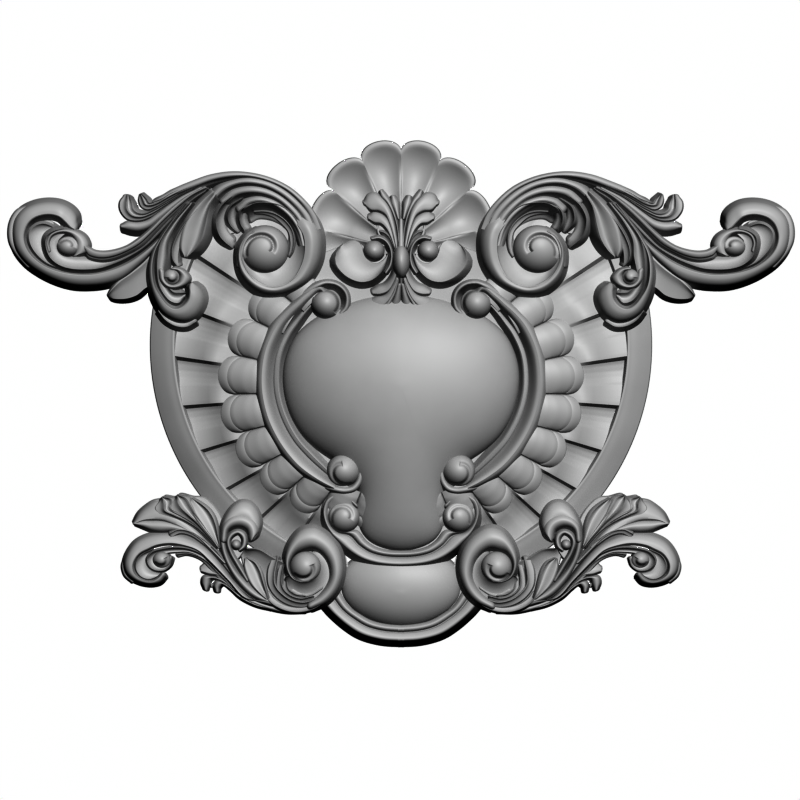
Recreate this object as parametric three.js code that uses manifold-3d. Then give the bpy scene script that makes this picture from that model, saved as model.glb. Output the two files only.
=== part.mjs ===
// A rococo cartouche onlay: a domed shield in a C-scroll frame on a fluted plate, with a scallop
// shell, a palmette, scrolled acanthus wings and lower sprays. It is cast as one piece, flat behind.
// Millimetres, +Z up, front towards -Y. The origin is on the flat back, on the centre line.
import * as THREE from "three";
import Module from "manifold-3d";

// Driving sizes
const onlayWidth = 590;
const reliefDepth = 60;
const plateRadius = 189;
const plateCentreHeight = 41;
const plateTop = 142;
const plateEdge = 4;
const rimWidth = 19;
const rimRise = 10.5;
const fluteDepth = 4;
const fluteRise = 6;
const tongueStep = 2.4;
const tongueRise = 10;
const tongueRadius = 137.5;
const fluteSectorDegrees = 12.6;
const tongueSectorDegrees = 13.4;
const firstFluteDegrees = 32.8;
const firstTongueDegrees = 25.2;

// The free carving is drawn on squared paper, out from the centre line and up from the origin. Its
// heights off the back are drawn in squares of the relief.
const squaresAcross = 787;
const squaresDeep = 80;
const square = onlayWidth / squaresAcross;
const rise = reliefDepth / squaresDeep;
const wallDraft = 0.1;
const joinTolerance = 1.5;

const manifold = await Module();
manifold.setup();

// A closed mesh from rings of points, each ring with the same number of points, and a cap at each end
function skin(rings, capped) {
  const width = rings[0].length;
  const points = rings.flat();
  const faces = [];
  for (let ring = 0; ring + 1 < rings.length; ring++) {
    for (let i = 0; i < width; i++) {
      const a = ring * width + i;
      const b = ring * width + ((i + 1) % width);
      faces.push([a, b, b + width], [a, b + width, a + width]);
    }
  }
  const last = (rings.length - 1) * width;
  for (const [a, b, c] of capped) {
    faces.push([c, b, a], [last + a, last + b, last + c]);
  }
  return solidFrom(points, faces);
}

// Points are [across, up, off the back] in millimetres, and faces are turned outwards here
function solidFrom(points, faces) {
  let volume = 0;
  for (const [a, b, c] of faces) {
    const [p, q, r] = [points[a], points[b], points[c]];
    volume += p[0] * (q[1] * r[2] - q[2] * r[1]);
    volume += p[1] * (q[2] * r[0] - q[0] * r[2]);
    volume += p[2] * (q[0] * r[1] - q[1] * r[0]);
  }
  const outward = volume > 0 ? faces : faces.map(([a, b, c]) => [c, b, a]);
  const geometry = new THREE.BufferGeometry();
  const position = points.flatMap(([across, up, off]) => [across, -off, up]);
  geometry.setAttribute("position", new THREE.Float32BufferAttribute(position, 3));
  geometry.setIndex(outward.flat());
  return geometry;
}

// Sections of a carved band: places from -1 (its left) to 1 (its right), each with a height 0 to 1
const ridge = [[-0.95, 0.2], [0, 1], [0.95, 0.2]];
const roll = [[-0.92, 0.4], [-0.4, 1], [0.4, 1], [0.92, 0.4]];
const leanLeft = [[-0.9, 0.75], [-0.45, 1], [0.9, 0.25]];
const leanRight = leanLeft.map(([s, height]) => [-s, height]).reverse();
const gutter = [[-0.9, 1], [0, 0.55], [0.9, 1]];
const strands = [[-0.9, 0.9], [-0.42, 0.5], [0, 1], [0.42, 0.5], [0.9, 0.9]];
const twinRoll = [[-1, 0.3], [-0.72, 1], [0, 0.6], [0.72, 1], [1, 0.3]];

// A band along a curve: stations are [out, up, half width, crest] in squares. Its walls go down to
// the back, or to its base, with a little draft, and its ends are rounded.
function band(stations, section, options = {}) {
  const { perStation = 1, lift = 1.1, base = 0 } = options;
  const path = new THREE.CatmullRomCurve3(
    stations.map(([out, up]) => new THREE.Vector3(out, up, 0)), false, "centripetal");
  const form = new THREE.CatmullRomCurve3(
    stations.map(([, , half, crest]) => new THREE.Vector3(half, crest, 0)), false, "catmullrom", 0.3);
  const steps = Math.round((stations.length - 1) * perStation);
  const places = [];
  for (let i = 0; i <= steps; i++) {
    const at = path.getPoint(i / steps);
    const way = path.getTangent(i / steps);
    const size = form.getPoint(i / steps);
    places.push({ at, way, half: Math.max(0.8, size.x), crest: size.y, share: 1 });
  }
  const tip = (place, turn) => {
    const at = place.at.clone().addScaledVector(place.way, turn * place.half * 0.8);
    return { ...place, at, share: 0.5 };
  };
  const rings = [tip(places[0], -1), ...places, tip(places[steps], 1)].map((place) => {
    const { at, way, half, crest, share } = place;
    const foot = Math.max(0.35 * crest, crest - lift * half);
    const side = new THREE.Vector3(-way.y, way.x, 0);
    const point = (s, off) => {
      const spot = at.clone().addScaledVector(side, s * share * half);
      return [spot.x * square, spot.y * square, off * rise];
    };
    const top = section.map(([s, height]) => point(s, foot + (crest - foot) * height * share));
    return [point(-1 - wallDraft, base), ...top, point(1 + wallDraft, base)];
  });
  const flat = [[-1 - wallDraft, -1], ...section, [1 + wallDraft, -1]];
  return skin(rings, lid(flat.map(([s, height]) => new THREE.Vector2(s, height))));
}

// Stations along a spiral that shrinks by `ratio` each turn, its turns side by side
function spiral({ out, up, radius, from, turns, ratio, crest, gain = 0, spin = 1 }) {
  const count = Math.round(turns * 6);
  return Array.from({ length: count + 1 }, (_, i) => {
    const turn = (i / count) * turns;
    const outer = radius * ratio ** turn;
    const angle = THREE.MathUtils.degToRad(from) + spin * turn * 2 * Math.PI;
    const middle = outer * (1 + ratio) / 2;
    const half = outer * (1 - ratio) / 2;
    return [out + middle * Math.cos(angle), up + middle * Math.sin(angle), half, crest + gain * i / count];
  });
}

// A scroll's eye: a curl whose turns touch, closed by a ball in its middle
function curl(place) {
  const { turns, gain, ratio = 0.36 } = place;
  const inner = place.radius * ratio ** turns;
  return [
    band(spiral({ ...place, ratio }), roll, { base: 10 }),
    knob({ ...place, wide: inner * 1.5, high: inner * 1.5, crest: place.crest + gain, sides: 6 }),
  ];
}

// A round or oval boss with a drafted wall
function knob({ out, up, wide, high = wide, crest, foot = crest - wide, sides = 7, levels = 1 }) {
  const rings = [];
  const ringAt = (share, off) => Array.from({ length: sides }, (_, i) => {
    const angle = (2 * Math.PI * i) / sides;
    const across = out + wide * share * Math.cos(angle);
    return [across * square, (up + high * share * Math.sin(angle)) * square, off * rise];
  });
  rings.push(ringAt(1 + wallDraft / 2, 0));
  for (let level = 0; level <= levels; level++) {
    const angle = (level / (levels + 0.4)) * Math.PI / 2;
    rings.push(ringAt(Math.cos(angle), foot + (crest - foot) * Math.sin(angle)));
  }
  return skin(rings, fan(sides));
}

// The triangles that close any plain ring, turned the way the ring runs
function lid(flat) {
  const faces = THREE.ShapeUtils.triangulateShape(flat, []);
  const area = (ring) => THREE.ShapeUtils.area(ring);
  const [a, b, c] = faces[0];
  const same = area(flat) * area([flat[a], flat[b], flat[c]]) > 0;
  return same ? faces : faces.map(([p, q, r]) => [r, q, p]);
}

// The triangles that close a convex ring
function fan(sides) {
  return Array.from({ length: sides - 2 }, (_, i) => [0, i + 1, i + 2]);
}

// A flat ground under thin leaves, from a smooth closed outline in squares
function ground(outline, off, perPoint = 1) {
  const loop = new THREE.CatmullRomCurve3(
    outline.map(([out, up]) => new THREE.Vector3(out, up, 0)), true, "centripetal");
  const edge = loop.getPoints(outline.length * perPoint).slice(0, -1);
  const flat = edge.map((p) => new THREE.Vector2(p.x * square, p.y * square));
  const rings = [0, off * rise].map((depth) => flat.map((p) => [p.x, p.y, depth]));
  return skin(rings, lid(flat));
}

// The same piece on the other side of the centre line
function mirrored(geometry) {
  const copy = geometry.clone().scale(-1, 1, 1);
  const index = copy.getIndex().array;
  for (let i = 0; i < index.length; i += 3) {
    [index[i], index[i + 2]] = [index[i + 2], index[i]];
  }
  return copy;
}

// A shape given by its radius at each angle about a pole, rising from its foot to the pole
function inflated({ up, radiusAt, foot, crest, sides, levels, fullness = 0.5 }) {
  const rings = [];
  const ringAt = (share, off) => Array.from({ length: sides }, (_, i) => {
    const angle = (2 * Math.PI * i) / sides + Math.PI / 2;
    const radius = radiusAt(angle) * share;
    return [radius * Math.cos(angle), up + radius * Math.sin(angle), off];
  });
  rings.push(ringAt(1, 0));
  for (let level = 0; level <= levels; level++) {
    const share = Math.cos((level / (levels + 0.3)) * Math.PI / 2);
    rings.push(ringAt(share, foot + (crest - foot) * (1 - share * share) ** fullness));
  }
  return skin(rings, fan(sides));
}

// The round plate: a sloping rim band, then flutes that run in to the middle of the field
function flutedPlate() {
  const fieldUp = 10 * square;
  const offset = plateCentreHeight - fieldUp;
  const reach = (angle, radius) => {
    const along = Math.sin(angle) * offset;
    const round = along + Math.sqrt(radius * radius - (offset * Math.cos(angle)) ** 2);
    const cut = (plateTop - fieldUp - (plateRadius - radius)) / Math.max(1e-6, Math.sin(angle));
    return angle > 0 && angle < Math.PI ? Math.min(round, cut) : round;
  };
  const halfSide = [];
  const sector = fluteSectorDegrees;
  const marks = [[0, 1], [0.6, 0.6], [0.93, -0.35]];
  for (let k = -2; k < 7; k++) {
    const start = firstFluteDegrees - k * sector;
    for (const [share, sink] of marks) {
      const degrees = start - share * sector;
      if (degrees < 89 && degrees > -89) {
        halfSide.push([degrees, sink]);
      }
    }
  }
  const angles = [[90, 0.5], ...halfSide, [-90, 0.5]];
  const around = [...angles, ...angles.slice(1, -1).reverse().map(([d, sink]) => [180 - d, sink])];
  const inner = 0.9 * Math.min(plateTop - fieldUp - rimWidth, plateRadius - rimWidth - offset);
  const rings = [];
  const ringAt = (distance, off) => around.map(([degrees, sink]) => {
    const angle = THREE.MathUtils.degToRad(degrees);
    const radius = distance(angle);
    return [radius * Math.cos(angle), fieldUp + radius * Math.sin(angle), off(sink)];
  });
  const rimInner = plateRadius - rimWidth;
  const ground = plateEdge + rimRise - fluteDepth / 4;
  rings.push(ringAt((angle) => reach(angle, plateRadius), () => 0));
  rings.push(ringAt((angle) => reach(angle, plateRadius - 1), () => plateEdge));
  rings.push(ringAt((angle) => reach(angle, rimInner), () => plateEdge + rimRise));
  rings.push(ringAt((angle) => reach(angle, rimInner - 1.5), (sink) => ground - fluteDepth * 0.6 * sink - 1));
  rings.push(ringAt(() => inner, (sink) => ground + fluteRise - fluteDepth * sink));
  return skin(rings, lid(rings[4].map(([x, z]) => new THREE.Vector2(x, z))));
}

// A ring of round-ended tongues laps over the inner ends of the flutes
function tongues() {
  const fieldUp = 10 * square;
  const outline = [];
  const pointsPerTongue = 4;
  for (let k = -2; k < 7; k++) {
    const middle = firstTongueDegrees + tongueSectorDegrees / 2 - k * tongueSectorDegrees;
    const tip = tongueRadius - 0.0068 * (middle - 5) ** 2;
    for (let i = 0; i < pointsPerTongue; i++) {
      const s = 1 - (2 * i) / pointsPerTongue;
      const radius = tip - 0.085 * tongueRadius * (1 - Math.sqrt(Math.max(0, 1 - s * s)));
      outline.push([middle + (s * tongueSectorDegrees) / 2, radius]);
    }
  }
  const side = outline.filter(([degrees]) => degrees < 86 && degrees > -86);
  const around = [...side, ...[...side].reverse().map(([degrees, radius]) => [180 - degrees, radius])];
  const lip = plateEdge + rimRise + fluteDepth + tongueStep;
  const rings = [[1, plateEdge / 2], [1, lip], [0.78, lip + tongueRise]].map(([share, off]) => around.map(
    ([degrees, radius]) => {
      const angle = THREE.MathUtils.degToRad(degrees);
      return [share * radius * Math.cos(angle), fieldUp + share * radius * Math.sin(angle), off];
    }));
  return skin(rings, lid(rings[2].map(([x, z]) => new THREE.Vector2(x, z))));
}

// A rounded oval, squarer in its outline as its power grows
const oval = (wide, high, power) => (angle) => {
  const [c, s] = [Math.abs(Math.cos(angle)), Math.abs(Math.sin(angle))];
  return ((c / wide) ** power + (s / high) ** power) ** (-1 / power) * square;
};

// The domed field: an oval dome that runs down into a lower, round-ended tongue
function field() {
  return [
    inflated({ up: 13 * square, radiusAt: oval(118, 92, 2), foot: 30 * rise, crest: 76 * rise, sides: 28,
      levels: 4 }),
    inflated({ up: -66 * square, radiusAt: oval(44, 85, 2.6), foot: 28 * rise, crest: 60 * rise, sides: 20,
      levels: 3 }),
  ];
}

// The bowl at the foot, under its own moulded frame
function bowl() {
  return inflated({
    up: -188 * square, radiusAt: oval(60, 38, 2), foot: 14 * rise, crest: 36 * rise, sides: 18, levels: 3 });
}

// The scallop shell: eight lobes with round ends, hollow between flat ridges
function shell() {
  const lobesPerSide = 4;
  const perLobe = 3;
  const hingeUp = 150;
  const hingeRadius = 16;
  const openings = (lobe) => 90 - 22.4 * lobe - 0.95 * lobe * lobe;
  const half = [];
  for (let i = 0; i <= lobesPerSide * perLobe; i++) {
    const lobe = i / perLobe;
    const s = 2 * (lobe % 1) - 1;
    const dip = i % perLobe === 0 ? 0 : Math.sqrt(1 - s * s);
    const degrees = openings(lobe);
    const reach = 101 - 0.0034 * (90 - degrees) ** 2 + 11 * dip;
    half.push([degrees, reach, dip]);
  }
  const other = half.slice(1).reverse().map(([degrees, reach, dip]) => [180 - degrees, reach, dip]);
  const slices = [...other, ...half].map(([degrees, reach, dip]) => {
    const angle = THREE.MathUtils.degToRad(degrees);
    const place = (radius, off) => [
      radius * Math.cos(angle) * square, (hingeUp + radius * Math.sin(angle)) * square, off * rise];
    return [place(reach, 0), place(reach, 22), place(reach * 0.9, 24 - 5 * dip),
      place(reach * 0.55, 29 - 9 * dip), place(hingeRadius, 36), place(hingeRadius, 0)];
  });
  return skin(slices, [[0, 1, 5], [1, 2, 5], [2, 3, 5], [3, 4, 5]]);
}

// What is on the centre line, made once
function centre() {
  return [
    flutedPlate(),
    tongues(),
    ...field(),
    bowl(),
    shell(),
    knob({ out: 0, up: 138, wide: 8.5, high: 17, crest: 68, sides: 12 }),
    ground([[-60, -110], [60, -110], [78, -195], [45, -238], [-45, -238], [-78, -195]], 14),
    knob({ out: 0, up: 187, wide: 4, high: 26, crest: 48, sides: 8, levels: 2 }),
    knob({ out: 0, up: 108, wide: 5, high: 20, crest: 50, sides: 8 }),
  ];
}

// One side of the C-scroll frame with the rolled ends, and of the frames below it
function frames() {
  return [
    band([[76, 114, 6, 50], [98, 100, 11, 53], [122, 64, 14, 54], [132, 22, 15, 54], [126, -18, 15, 54],
      [109, -46, 14, 54], [84, -68, 13, 54], [62, -82, 11, 53], [46, -80, 7, 52]], twinRoll,
      { perStation: 1.2, lift: 0.8 }),
    knob({ out: 75, up: 98, wide: 15, crest: 62, sides: 8, levels: 2 }),
    knob({ out: 58, up: -70, wide: 15, crest: 62, sides: 8, levels: 2 }),
    knob({ out: 58, up: -117, wide: 15, crest: 50, sides: 8, levels: 2 }),
    band([[72, -108, 8, 40], [66, -124, 11, 40], [52, -141, 12, 40], [30, -155, 11, 40], [0, -161, 10, 40]],
      twinRoll, { perStation: 1.2, lift: 0.8 }),
    band([[84, -180, 8, 26], [73, -202, 10, 26], [54, -220, 10, 27], [30, -234, 10, 28], [0, -238, 10, 28]],
      twinRoll, { perStation: 1.2, lift: 0.8 }),
  ];
}

// One side of the palmette in front of the shell
function palmette() {
  return [
    band([[64, 130, 5, 44], [48, 122, 12, 50], [26, 122, 12, 54], [4, 134, 8, 56]], ridge),
    knob({ out: 26, up: 149, wide: 12, crest: 64 }),
    band([[4, 150, 5, 56], [14, 176, 8, 52], [26, 192, 7, 48], [34, 200, 5, 46]], gutter),
    band([[4, 116, 5, 52], [18, 104, 8, 48], [26, 94, 7, 44]], gutter),
    band([[2, 112, 3, 52], [9, 92, 4, 46]], ridge),
  ];
}

// One upper wing: a branch that ends in a hook, the strands that arch into the main volute, a
// hanging scroll and the leaf lobes between them
function wing() {
  return [
    band([[262, 142, 6, 38], [300, 120, 8.5, 33], [330, 118, 8.5, 30], [356, 127, 8.5, 29], [376, 144, 8.5, 29],
      [385, 164, 9, 29], [379, 183, 9, 30], [358, 191, 8.5, 33], [333, 186, 9.5, 36]], roll),
    ground([[374, 165], [366, 141], [341, 129], [301, 128], [262, 146], [266, 160], [301, 146],
      [320, 165], [350, 173]], 20),
    band([[262, 154, 6, 40], [300, 139, 8, 36], [325, 137, 8, 36], [345, 148, 7, 37], [347, 162, 6, 38],
      [335, 170, 5, 40], [320, 164, 6, 40]], leanRight),
    knob({ out: 335, up: 152, wide: 9, crest: 44 }),
    band([[294, 105, 2.5, 22], [278, 115, 7, 26], [258, 134, 6, 30]], ridge),
    band([[225, 180, 8, 42], [252, 170, 9, 36], [274, 173, 6, 32]], gutter),
    band([[228, 190, 8, 42], [254, 184, 8, 38], [272, 192, 7, 36], [276, 202, 5, 38]], gutter),
    band([[235, 196, 5, 40], [249, 193, 5, 38], [258, 202, 4, 36]], ridge),
    band([[284, 140, 14, 37], [252, 160, 18, 40], [228, 184, 21, 44], [198, 203, 19, 48], [160, 212, 15, 54],
      [126, 206, 17, 57], [104, 188, 19, 59]], strands, { perStation: 1.2, lift: 0.7 }),
    band([[108, 194, 16, 58], [96, 168, 17, 59], [96, 142, 17, 60], [112, 120, 14.5, 60], [134, 114, 13, 60],
      [152, 124, 10, 60], [159, 142, 8, 61], [156, 160, 7, 62], [144, 169, 6.5, 62], [128, 168, 6, 62]],
      leanRight, { perStation: 1.1, lift: 1.2 }),
    ...curl({ out: 133, up: 149, radius: 22, from: 150, turns: 1, crest: 66, gain: 5, spin: -1 }),
    band([[222, 188, 8, 46], [240, 163, 12, 44], [244, 134, 14, 43], [241, 108, 13, 44], [228, 87, 12, 46],
      [212, 82, 12, 49], [205, 98, 13, 52], [209, 108, 9, 54]], leanRight, { perStation: 1.2 }),
    knob({ out: 229, up: 122, wide: 12, crest: 50 }),
    band([[188, 196, 5, 52], [201, 176, 11, 52], [210, 156, 12, 50], [216, 147, 7, 49]], gutter),
    band([[212, 172, 6, 48], [226, 152, 7, 47], [227, 136, 4, 46]], ridge),
    band([[150, 198, 8, 52], [170, 188, 11, 48], [176, 168, 12, 42], [170, 154, 8, 38]], strands),
  ];
}

// One lower spray: a hooked leaf outwards, a bud scroll, and the strands that roll into the volute
function spray() {
  return [
    ground([[215, -104], [255, -118], [250, -148], [212, -150], [198, -186], [150, -208],
      [100, -212], [70, -190], [90, -150], [130, -150], [160, -110], [190, -100]], 20),
    band([[196, -158, 6, 36], [222, -150, 7, 33], [250, -146, 8, 32], [270, -154, 8, 30], [272, -170, 8, 29],
      [258, -183, 7, 30], [240, -179, 7, 33]], leanLeft),
    knob({ out: 240, up: -162, wide: 9, crest: 38 }),
    band([[184, -152, 7, 42], [205, -130, 10, 38], [232, -121, 10, 33], [262, -124, 7, 29]], gutter),
    band([[180, -150, 6, 42], [200, -120, 9, 37], [218, -107, 9, 33], [238, -104, 7, 30]], gutter),
    band([[178, -150, 7, 42], [188, -120, 9, 38], [200, -102, 8, 34], [207, -98, 5, 32]], gutter),
    band([[154, -200, 6, 36], [172, -172, 9, 38], [176, -146, 11, 42], [170, -122, 11, 45], [156, -110, 10, 47],
      [146, -120, 8, 50], [148, -134, 6, 50]], leanLeft),
    knob({ out: 163, up: -144, wide: 9, crest: 50 }),
    band([[124, -196, 7, 38], [134, -176, 12, 42], [146, -160, 10, 44], [154, -152, 5, 44]], gutter),
    band([[120, -206, 5, 34], [160, -188, 9, 32], [186, -168, 11, 32], [200, -172, 6, 30]], gutter),
    band([[190, -180, 8, 32], [150, -198, 12, 38], [112, -202, 12, 44], [84, -196, 11, 47], [68, -178, 11, 49],
      [67, -152, 10, 51], [82, -134, 9, 53], [102, -134, 9, 54], [114, -150, 8, 55], [108, -172, 6, 55]],
      leanRight, { perStation: 1.2, lift: 1.2 }),
    ...curl({ out: 92, up: -162, radius: 18, from: 180, turns: 0.8, crest: 58, gain: 4, spin: 1 }),
  ];
}

// Joins all the carving into one casting
function casting() {
  const sides = [...frames(), ...palmette(), ...wing(), ...spray()];
  const shapes = [...centre(), ...sides, ...sides.map(mirrored)];
  let whole = null;
  for (const shape of shapes) {
    const solid = toSolid(shape);
    whole = whole ? whole.add(solid) : solid;
  }
  return fromSolid(whole);
}

function toSolid(geometry) {
  const vertProperties = new Float32Array(geometry.getAttribute("position").array);
  const triVerts = new Uint32Array(geometry.getIndex().array);
  return new manifold.Manifold(new manifold.Mesh({ numProp: 3, vertProperties, triVerts, tolerance: joinTolerance }));
}

// The outer skin of a joined solid. A casting has no sealed hollows, so any that the overlaps of its
// leaves closed in are left out, which fills them.
function fromSolid(solid) {
  const { vertProperties, triVerts } = solid.getMesh();
  const leader = Array.from({ length: vertProperties.length / 3 }, (_, i) => i);
  const find = (i) => {
    while (leader[i] !== i) {
      leader[i] = leader[leader[i]];
      i = leader[i];
    }
    return i;
  };
  for (let i = 0; i < triVerts.length; i += 3) {
    leader[find(triVerts[i])] = find(triVerts[i + 1]);
    leader[find(triVerts[i + 1])] = find(triVerts[i + 2]);
  }
  const volumes = new Map();
  const corner = (i) => new THREE.Vector3().fromArray(vertProperties, 3 * triVerts[i]);
  for (let i = 0; i < triVerts.length; i += 3) {
    const shell = find(triVerts[i]);
    const volume = corner(i).dot(corner(i + 1).cross(corner(i + 2)));
    volumes.set(shell, (volumes.get(shell) ?? 0) + volume);
  }
  const kept = [];
  for (let i = 0; i < triVerts.length; i += 3) {
    if (volumes.get(find(triVerts[i])) > 0) {
      kept.push(triVerts[i], triVerts[i + 1], triVerts[i + 2]);
    }
  }
  const geometry = new THREE.BufferGeometry();
  geometry.setAttribute("position", new THREE.BufferAttribute(vertProperties, 3));
  geometry.setIndex(kept);
  return geometry;
}

const satinGrey = new THREE.MeshStandardMaterial({ color: 0x9a9a9a, roughness: 0.45, metalness: 0 });
const onlay = new THREE.Mesh(casting(), satinGrey);
onlay.name = "cartouche_onlay";
const group = new THREE.Group();
group.add(onlay);
export default group;
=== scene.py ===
# %% [markdown]
# # A rococo cartouche onlay, carved in Blender from measured strokes
#
# The real thing is one casting: a domed shield in a scrolled frame, on a round fluted plate, with a
# scallop shell and a palmette above, acanthus wings at the sides and leaf sprays below. It is glued
# to a door, a chimney piece or a headboard.
#
# A carver draws such a piece on squared paper first and then cuts each leaf as one long stroke with a
# gouge. This lesson does the same. Each leaf is a ribbon between two drawn edges, with a section that
# says how the gouge left it, and walls that run down to the back. What repeats round a centre, such as
# flutes, tongues and shell lobes, is fanned out by Geometry Nodes.

# %% Load the frame
import math
import bpy
import numpy as np
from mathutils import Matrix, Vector


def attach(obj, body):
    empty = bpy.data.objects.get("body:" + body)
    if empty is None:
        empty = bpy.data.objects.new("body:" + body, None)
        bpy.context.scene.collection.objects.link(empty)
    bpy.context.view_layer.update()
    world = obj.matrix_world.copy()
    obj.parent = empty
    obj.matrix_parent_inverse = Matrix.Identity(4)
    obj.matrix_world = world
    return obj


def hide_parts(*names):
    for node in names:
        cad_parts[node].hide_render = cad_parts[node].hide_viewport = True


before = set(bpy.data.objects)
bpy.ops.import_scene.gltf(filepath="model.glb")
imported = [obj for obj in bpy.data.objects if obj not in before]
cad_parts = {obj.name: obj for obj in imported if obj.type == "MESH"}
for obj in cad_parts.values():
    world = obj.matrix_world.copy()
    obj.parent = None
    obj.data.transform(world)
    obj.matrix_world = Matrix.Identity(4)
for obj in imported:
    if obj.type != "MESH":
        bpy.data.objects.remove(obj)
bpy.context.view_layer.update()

# %% [markdown]
# ## The squared paper
#
# The pattern is drawn on paper with squares of 0.75 mm. Places are counted across from the left edge
# of the sheet and down from its top, and heights are counted in the same squares off the flat back.
# The centre line is at 401 squares, and the origin is 400 squares down. Only the left half is drawn,
# because a cartouche of this kind is the same on both sides, and the right half is its mirror.

# %% From the squared paper to metres
SQUARE = 0.00075
CENTRE = 401.0
LEVEL = 400.0
SHEET_WIDE = 787


def to_metres(points):
    spots = np.asarray(points, dtype=float)
    across = (spots[:, 0] - CENTRE) * SQUARE
    depth = -spots[:, 2] * SQUARE
    up = (LEVEL - spots[:, 1]) * SQUARE
    return np.column_stack((across, depth, up))


print("one square is", SQUARE * 1000, "mm, and the sheet is", round(SHEET_WIDE * SQUARE, 3), "m wide")

# %% [markdown]
# ## Smooth curves
#
# A carved edge has no corners except where two cuts meet. A curve that runs through all its measured
# points, and is guided by their neighbours, keeps both facts: it is smooth, and it stays on the
# drawing. The same function bends edges, heights and sections.

# %% A smooth run through rows of numbers
def smooth_run(rows, per_span, even=False):
    rows = np.asarray(rows, dtype=float)
    if len(rows) == 2:
        rows = np.vstack((rows[0], rows.mean(axis=0), rows[1]))
    before = 2 * rows[0] - rows[1]
    after = 2 * rows[-1] - rows[-2]
    padded = np.vstack((before, rows, after))
    gaps = np.ones(len(padded) - 1)
    if not even:
        middle = (padded[:, 0:2] + padded[:, 2:4]) / 2
        gaps = np.maximum(np.linalg.norm(np.diff(middle, axis=0), axis=1), 1e-3) ** 0.5
    out = []
    for i in range(len(rows) - 1):
        p0, p1, p2, p3 = padded[i:i + 4]
        g0, g1, g2 = gaps[i:i + 3]
        m1 = g1 * ((p1 - p0) / g0 - (p2 - p0) / (g0 + g1) + (p2 - p1) / g1)
        m2 = g1 * ((p2 - p1) / g1 - (p3 - p1) / (g1 + g2) + (p3 - p2) / g2)
        t = (np.arange(per_span) / per_span)[:, None]
        out.append((2 * t**3 - 3 * t**2 + 1) * p1 + (t**3 - 2 * t**2 + t) * m1
                   + (3 * t**2 - 2 * t**3) * p2 + (t**3 - t**2) * m2)
    out.append(rows[-1:])
    return np.vstack(out)


def smooth_loop(spots, per_span):
    closed = [spots[-1], *spots, spots[0], spots[1]]
    rows = smooth_run([(x, y, x, y) for x, y in closed], per_span)
    return rows[per_span:-2 * per_span, 0:2]


print("a loop of four spots becomes", len(smooth_loop([(0, 0), (9, 0), (9, 9), (0, 9)], 6)), "points")

# %% [markdown]
# ## Gouge sections
#
# A section is the shape across a stroke. It runs from -1 at the first edge to 1 at the second, and its
# height from 0 at the foot to 1 at the crest. Each section is one or more runs, and two runs meet in a
# crisp ridge, as two cuts of a gouge do.

# %% The sections that the carving uses
SECTIONS = {
    "roll": [[(-1, 0.1), (-0.85, 0.5), (-0.5, 0.86), (0, 1), (0.5, 0.86), (0.85, 0.5), (1, 0.1)]],
    "shoulder": [[(-1, 0.0), (-0.85, 0.32), (-0.5, 0.68), (0.1, 0.93), (0.7, 1)],
                 [(0.7, 1), (0.86, 0.9), (1, 0.55)]],
    "swelling": [[(-1, 0.0), (-0.85, 0.34), (-0.5, 0.72), (0, 0.96), (0.4, 1), (1, 0.9)]],
    "strand": [[(-1, 0.72), (-0.7, 0.93), (-0.25, 1)], [(-0.25, 1), (0.1, 0.88), (0.5, 0.4), (1, 0)]],
    "ridge_first": [[(-1, 0.35), (-0.8, 0.9), (-0.62, 1)],
                    [(-0.62, 1), (-0.2, 0.62), (0.4, 0.42), (1, 0.3)]],
    "ridge_last": [[(-1, 0.3), (-0.4, 0.42), (0.2, 0.62), (0.62, 1)], [(0.62, 1), (0.8, 0.9), (1, 0.35)]],
    "flat_lip": [[(-1, 0.75), (-0.75, 1), (-0.1, 0.95), (0.35, 0.8)], [(0.35, 0.8), (0.6, 0.2), (1, 0)]],
    "gutter": [[(-1, 0.7), (-0.86, 1)], [(-0.86, 1), (-0.4, 0.45), (0, 0.3), (0.4, 0.45), (0.86, 1)],
               [(0.86, 1), (1, 0.7)]],
    "spoon": [[(-1, 0.72), (-0.8, 0.86), (-0.35, 0.7), (0.15, 0.4), (0.5, 0.42), (0.84, 1)],
              [(0.84, 1), (1, 0.75)]],
    "leaf": [[(-1, 0.45), (-0.5, 0.62), (-0.15, 1)],
             [(-0.15, 1), (0.12, 0.42), (0.45, 0.5), (0.75, 0.82), (1, 0.3)]],
    "claw": [[(-1, 0.1), (-0.7, 0.6), (-0.3, 1)], [(-0.3, 1), (0.0, 0.5), (0.4, 0.2), (1, 0)]],
    "cove": [[(-1, 1), (-0.75, 0.7), (-0.2, 0.33), (0.4, 0.1), (1, 0)]],
    "dish": [[(-1, 0.85), (-0.93, 1)], [(-0.93, 1), (-0.6, 0.55), (-0.1, 0.22), (0.5, 0.1), (1, 0.15)]],
    "rim": [[(-1, 0.0), (-0.5, 0.33), (0.2, 0.73), (0.75, 0.95)], [(0.75, 0.95), (0.86, 1), (1, 1)]],
    "frame": [[(-1, 0.0), (-0.85, 0.5), (-0.65, 0.86), (-0.43, 1)],
              [(-0.43, 1), (-0.2, 0.93), (0.0, 0.72), (0.2, 0.4), (0.34, 0.2)],
              [(0.34, 0.2), (0.42, 0.3), (0.62, 0.4)], [(0.62, 0.4), (0.72, 0.3), (0.86, -0.02), (1, -0.3)]],
    "low_frame": [[(-1, 0.35), (-0.85, 0.85), (-0.6, 1), (-0.2, 0.86), (0.1, 0.6)],
                  [(0.1, 0.6), (0.16, 0.3), (0.24, 0.3)],
                  [(0.24, 0.3), (0.45, 0.66), (0.75, 0.72), (1, 0.35)]],
}
POINTS_PER_RUN_SPAN = 3


def section_points(name):
    runs = [smooth_run(run, POINTS_PER_RUN_SPAN, even=True) for run in SECTIONS[name]]
    points = np.vstack([runs[0]] + [run[1:] for run in runs[1:]])
    points[:, 0] = np.clip(points[:, 0], -1, 1)
    return points


print(len(SECTIONS), "sections, the roll with", len(section_points("roll")), "points")

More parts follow.
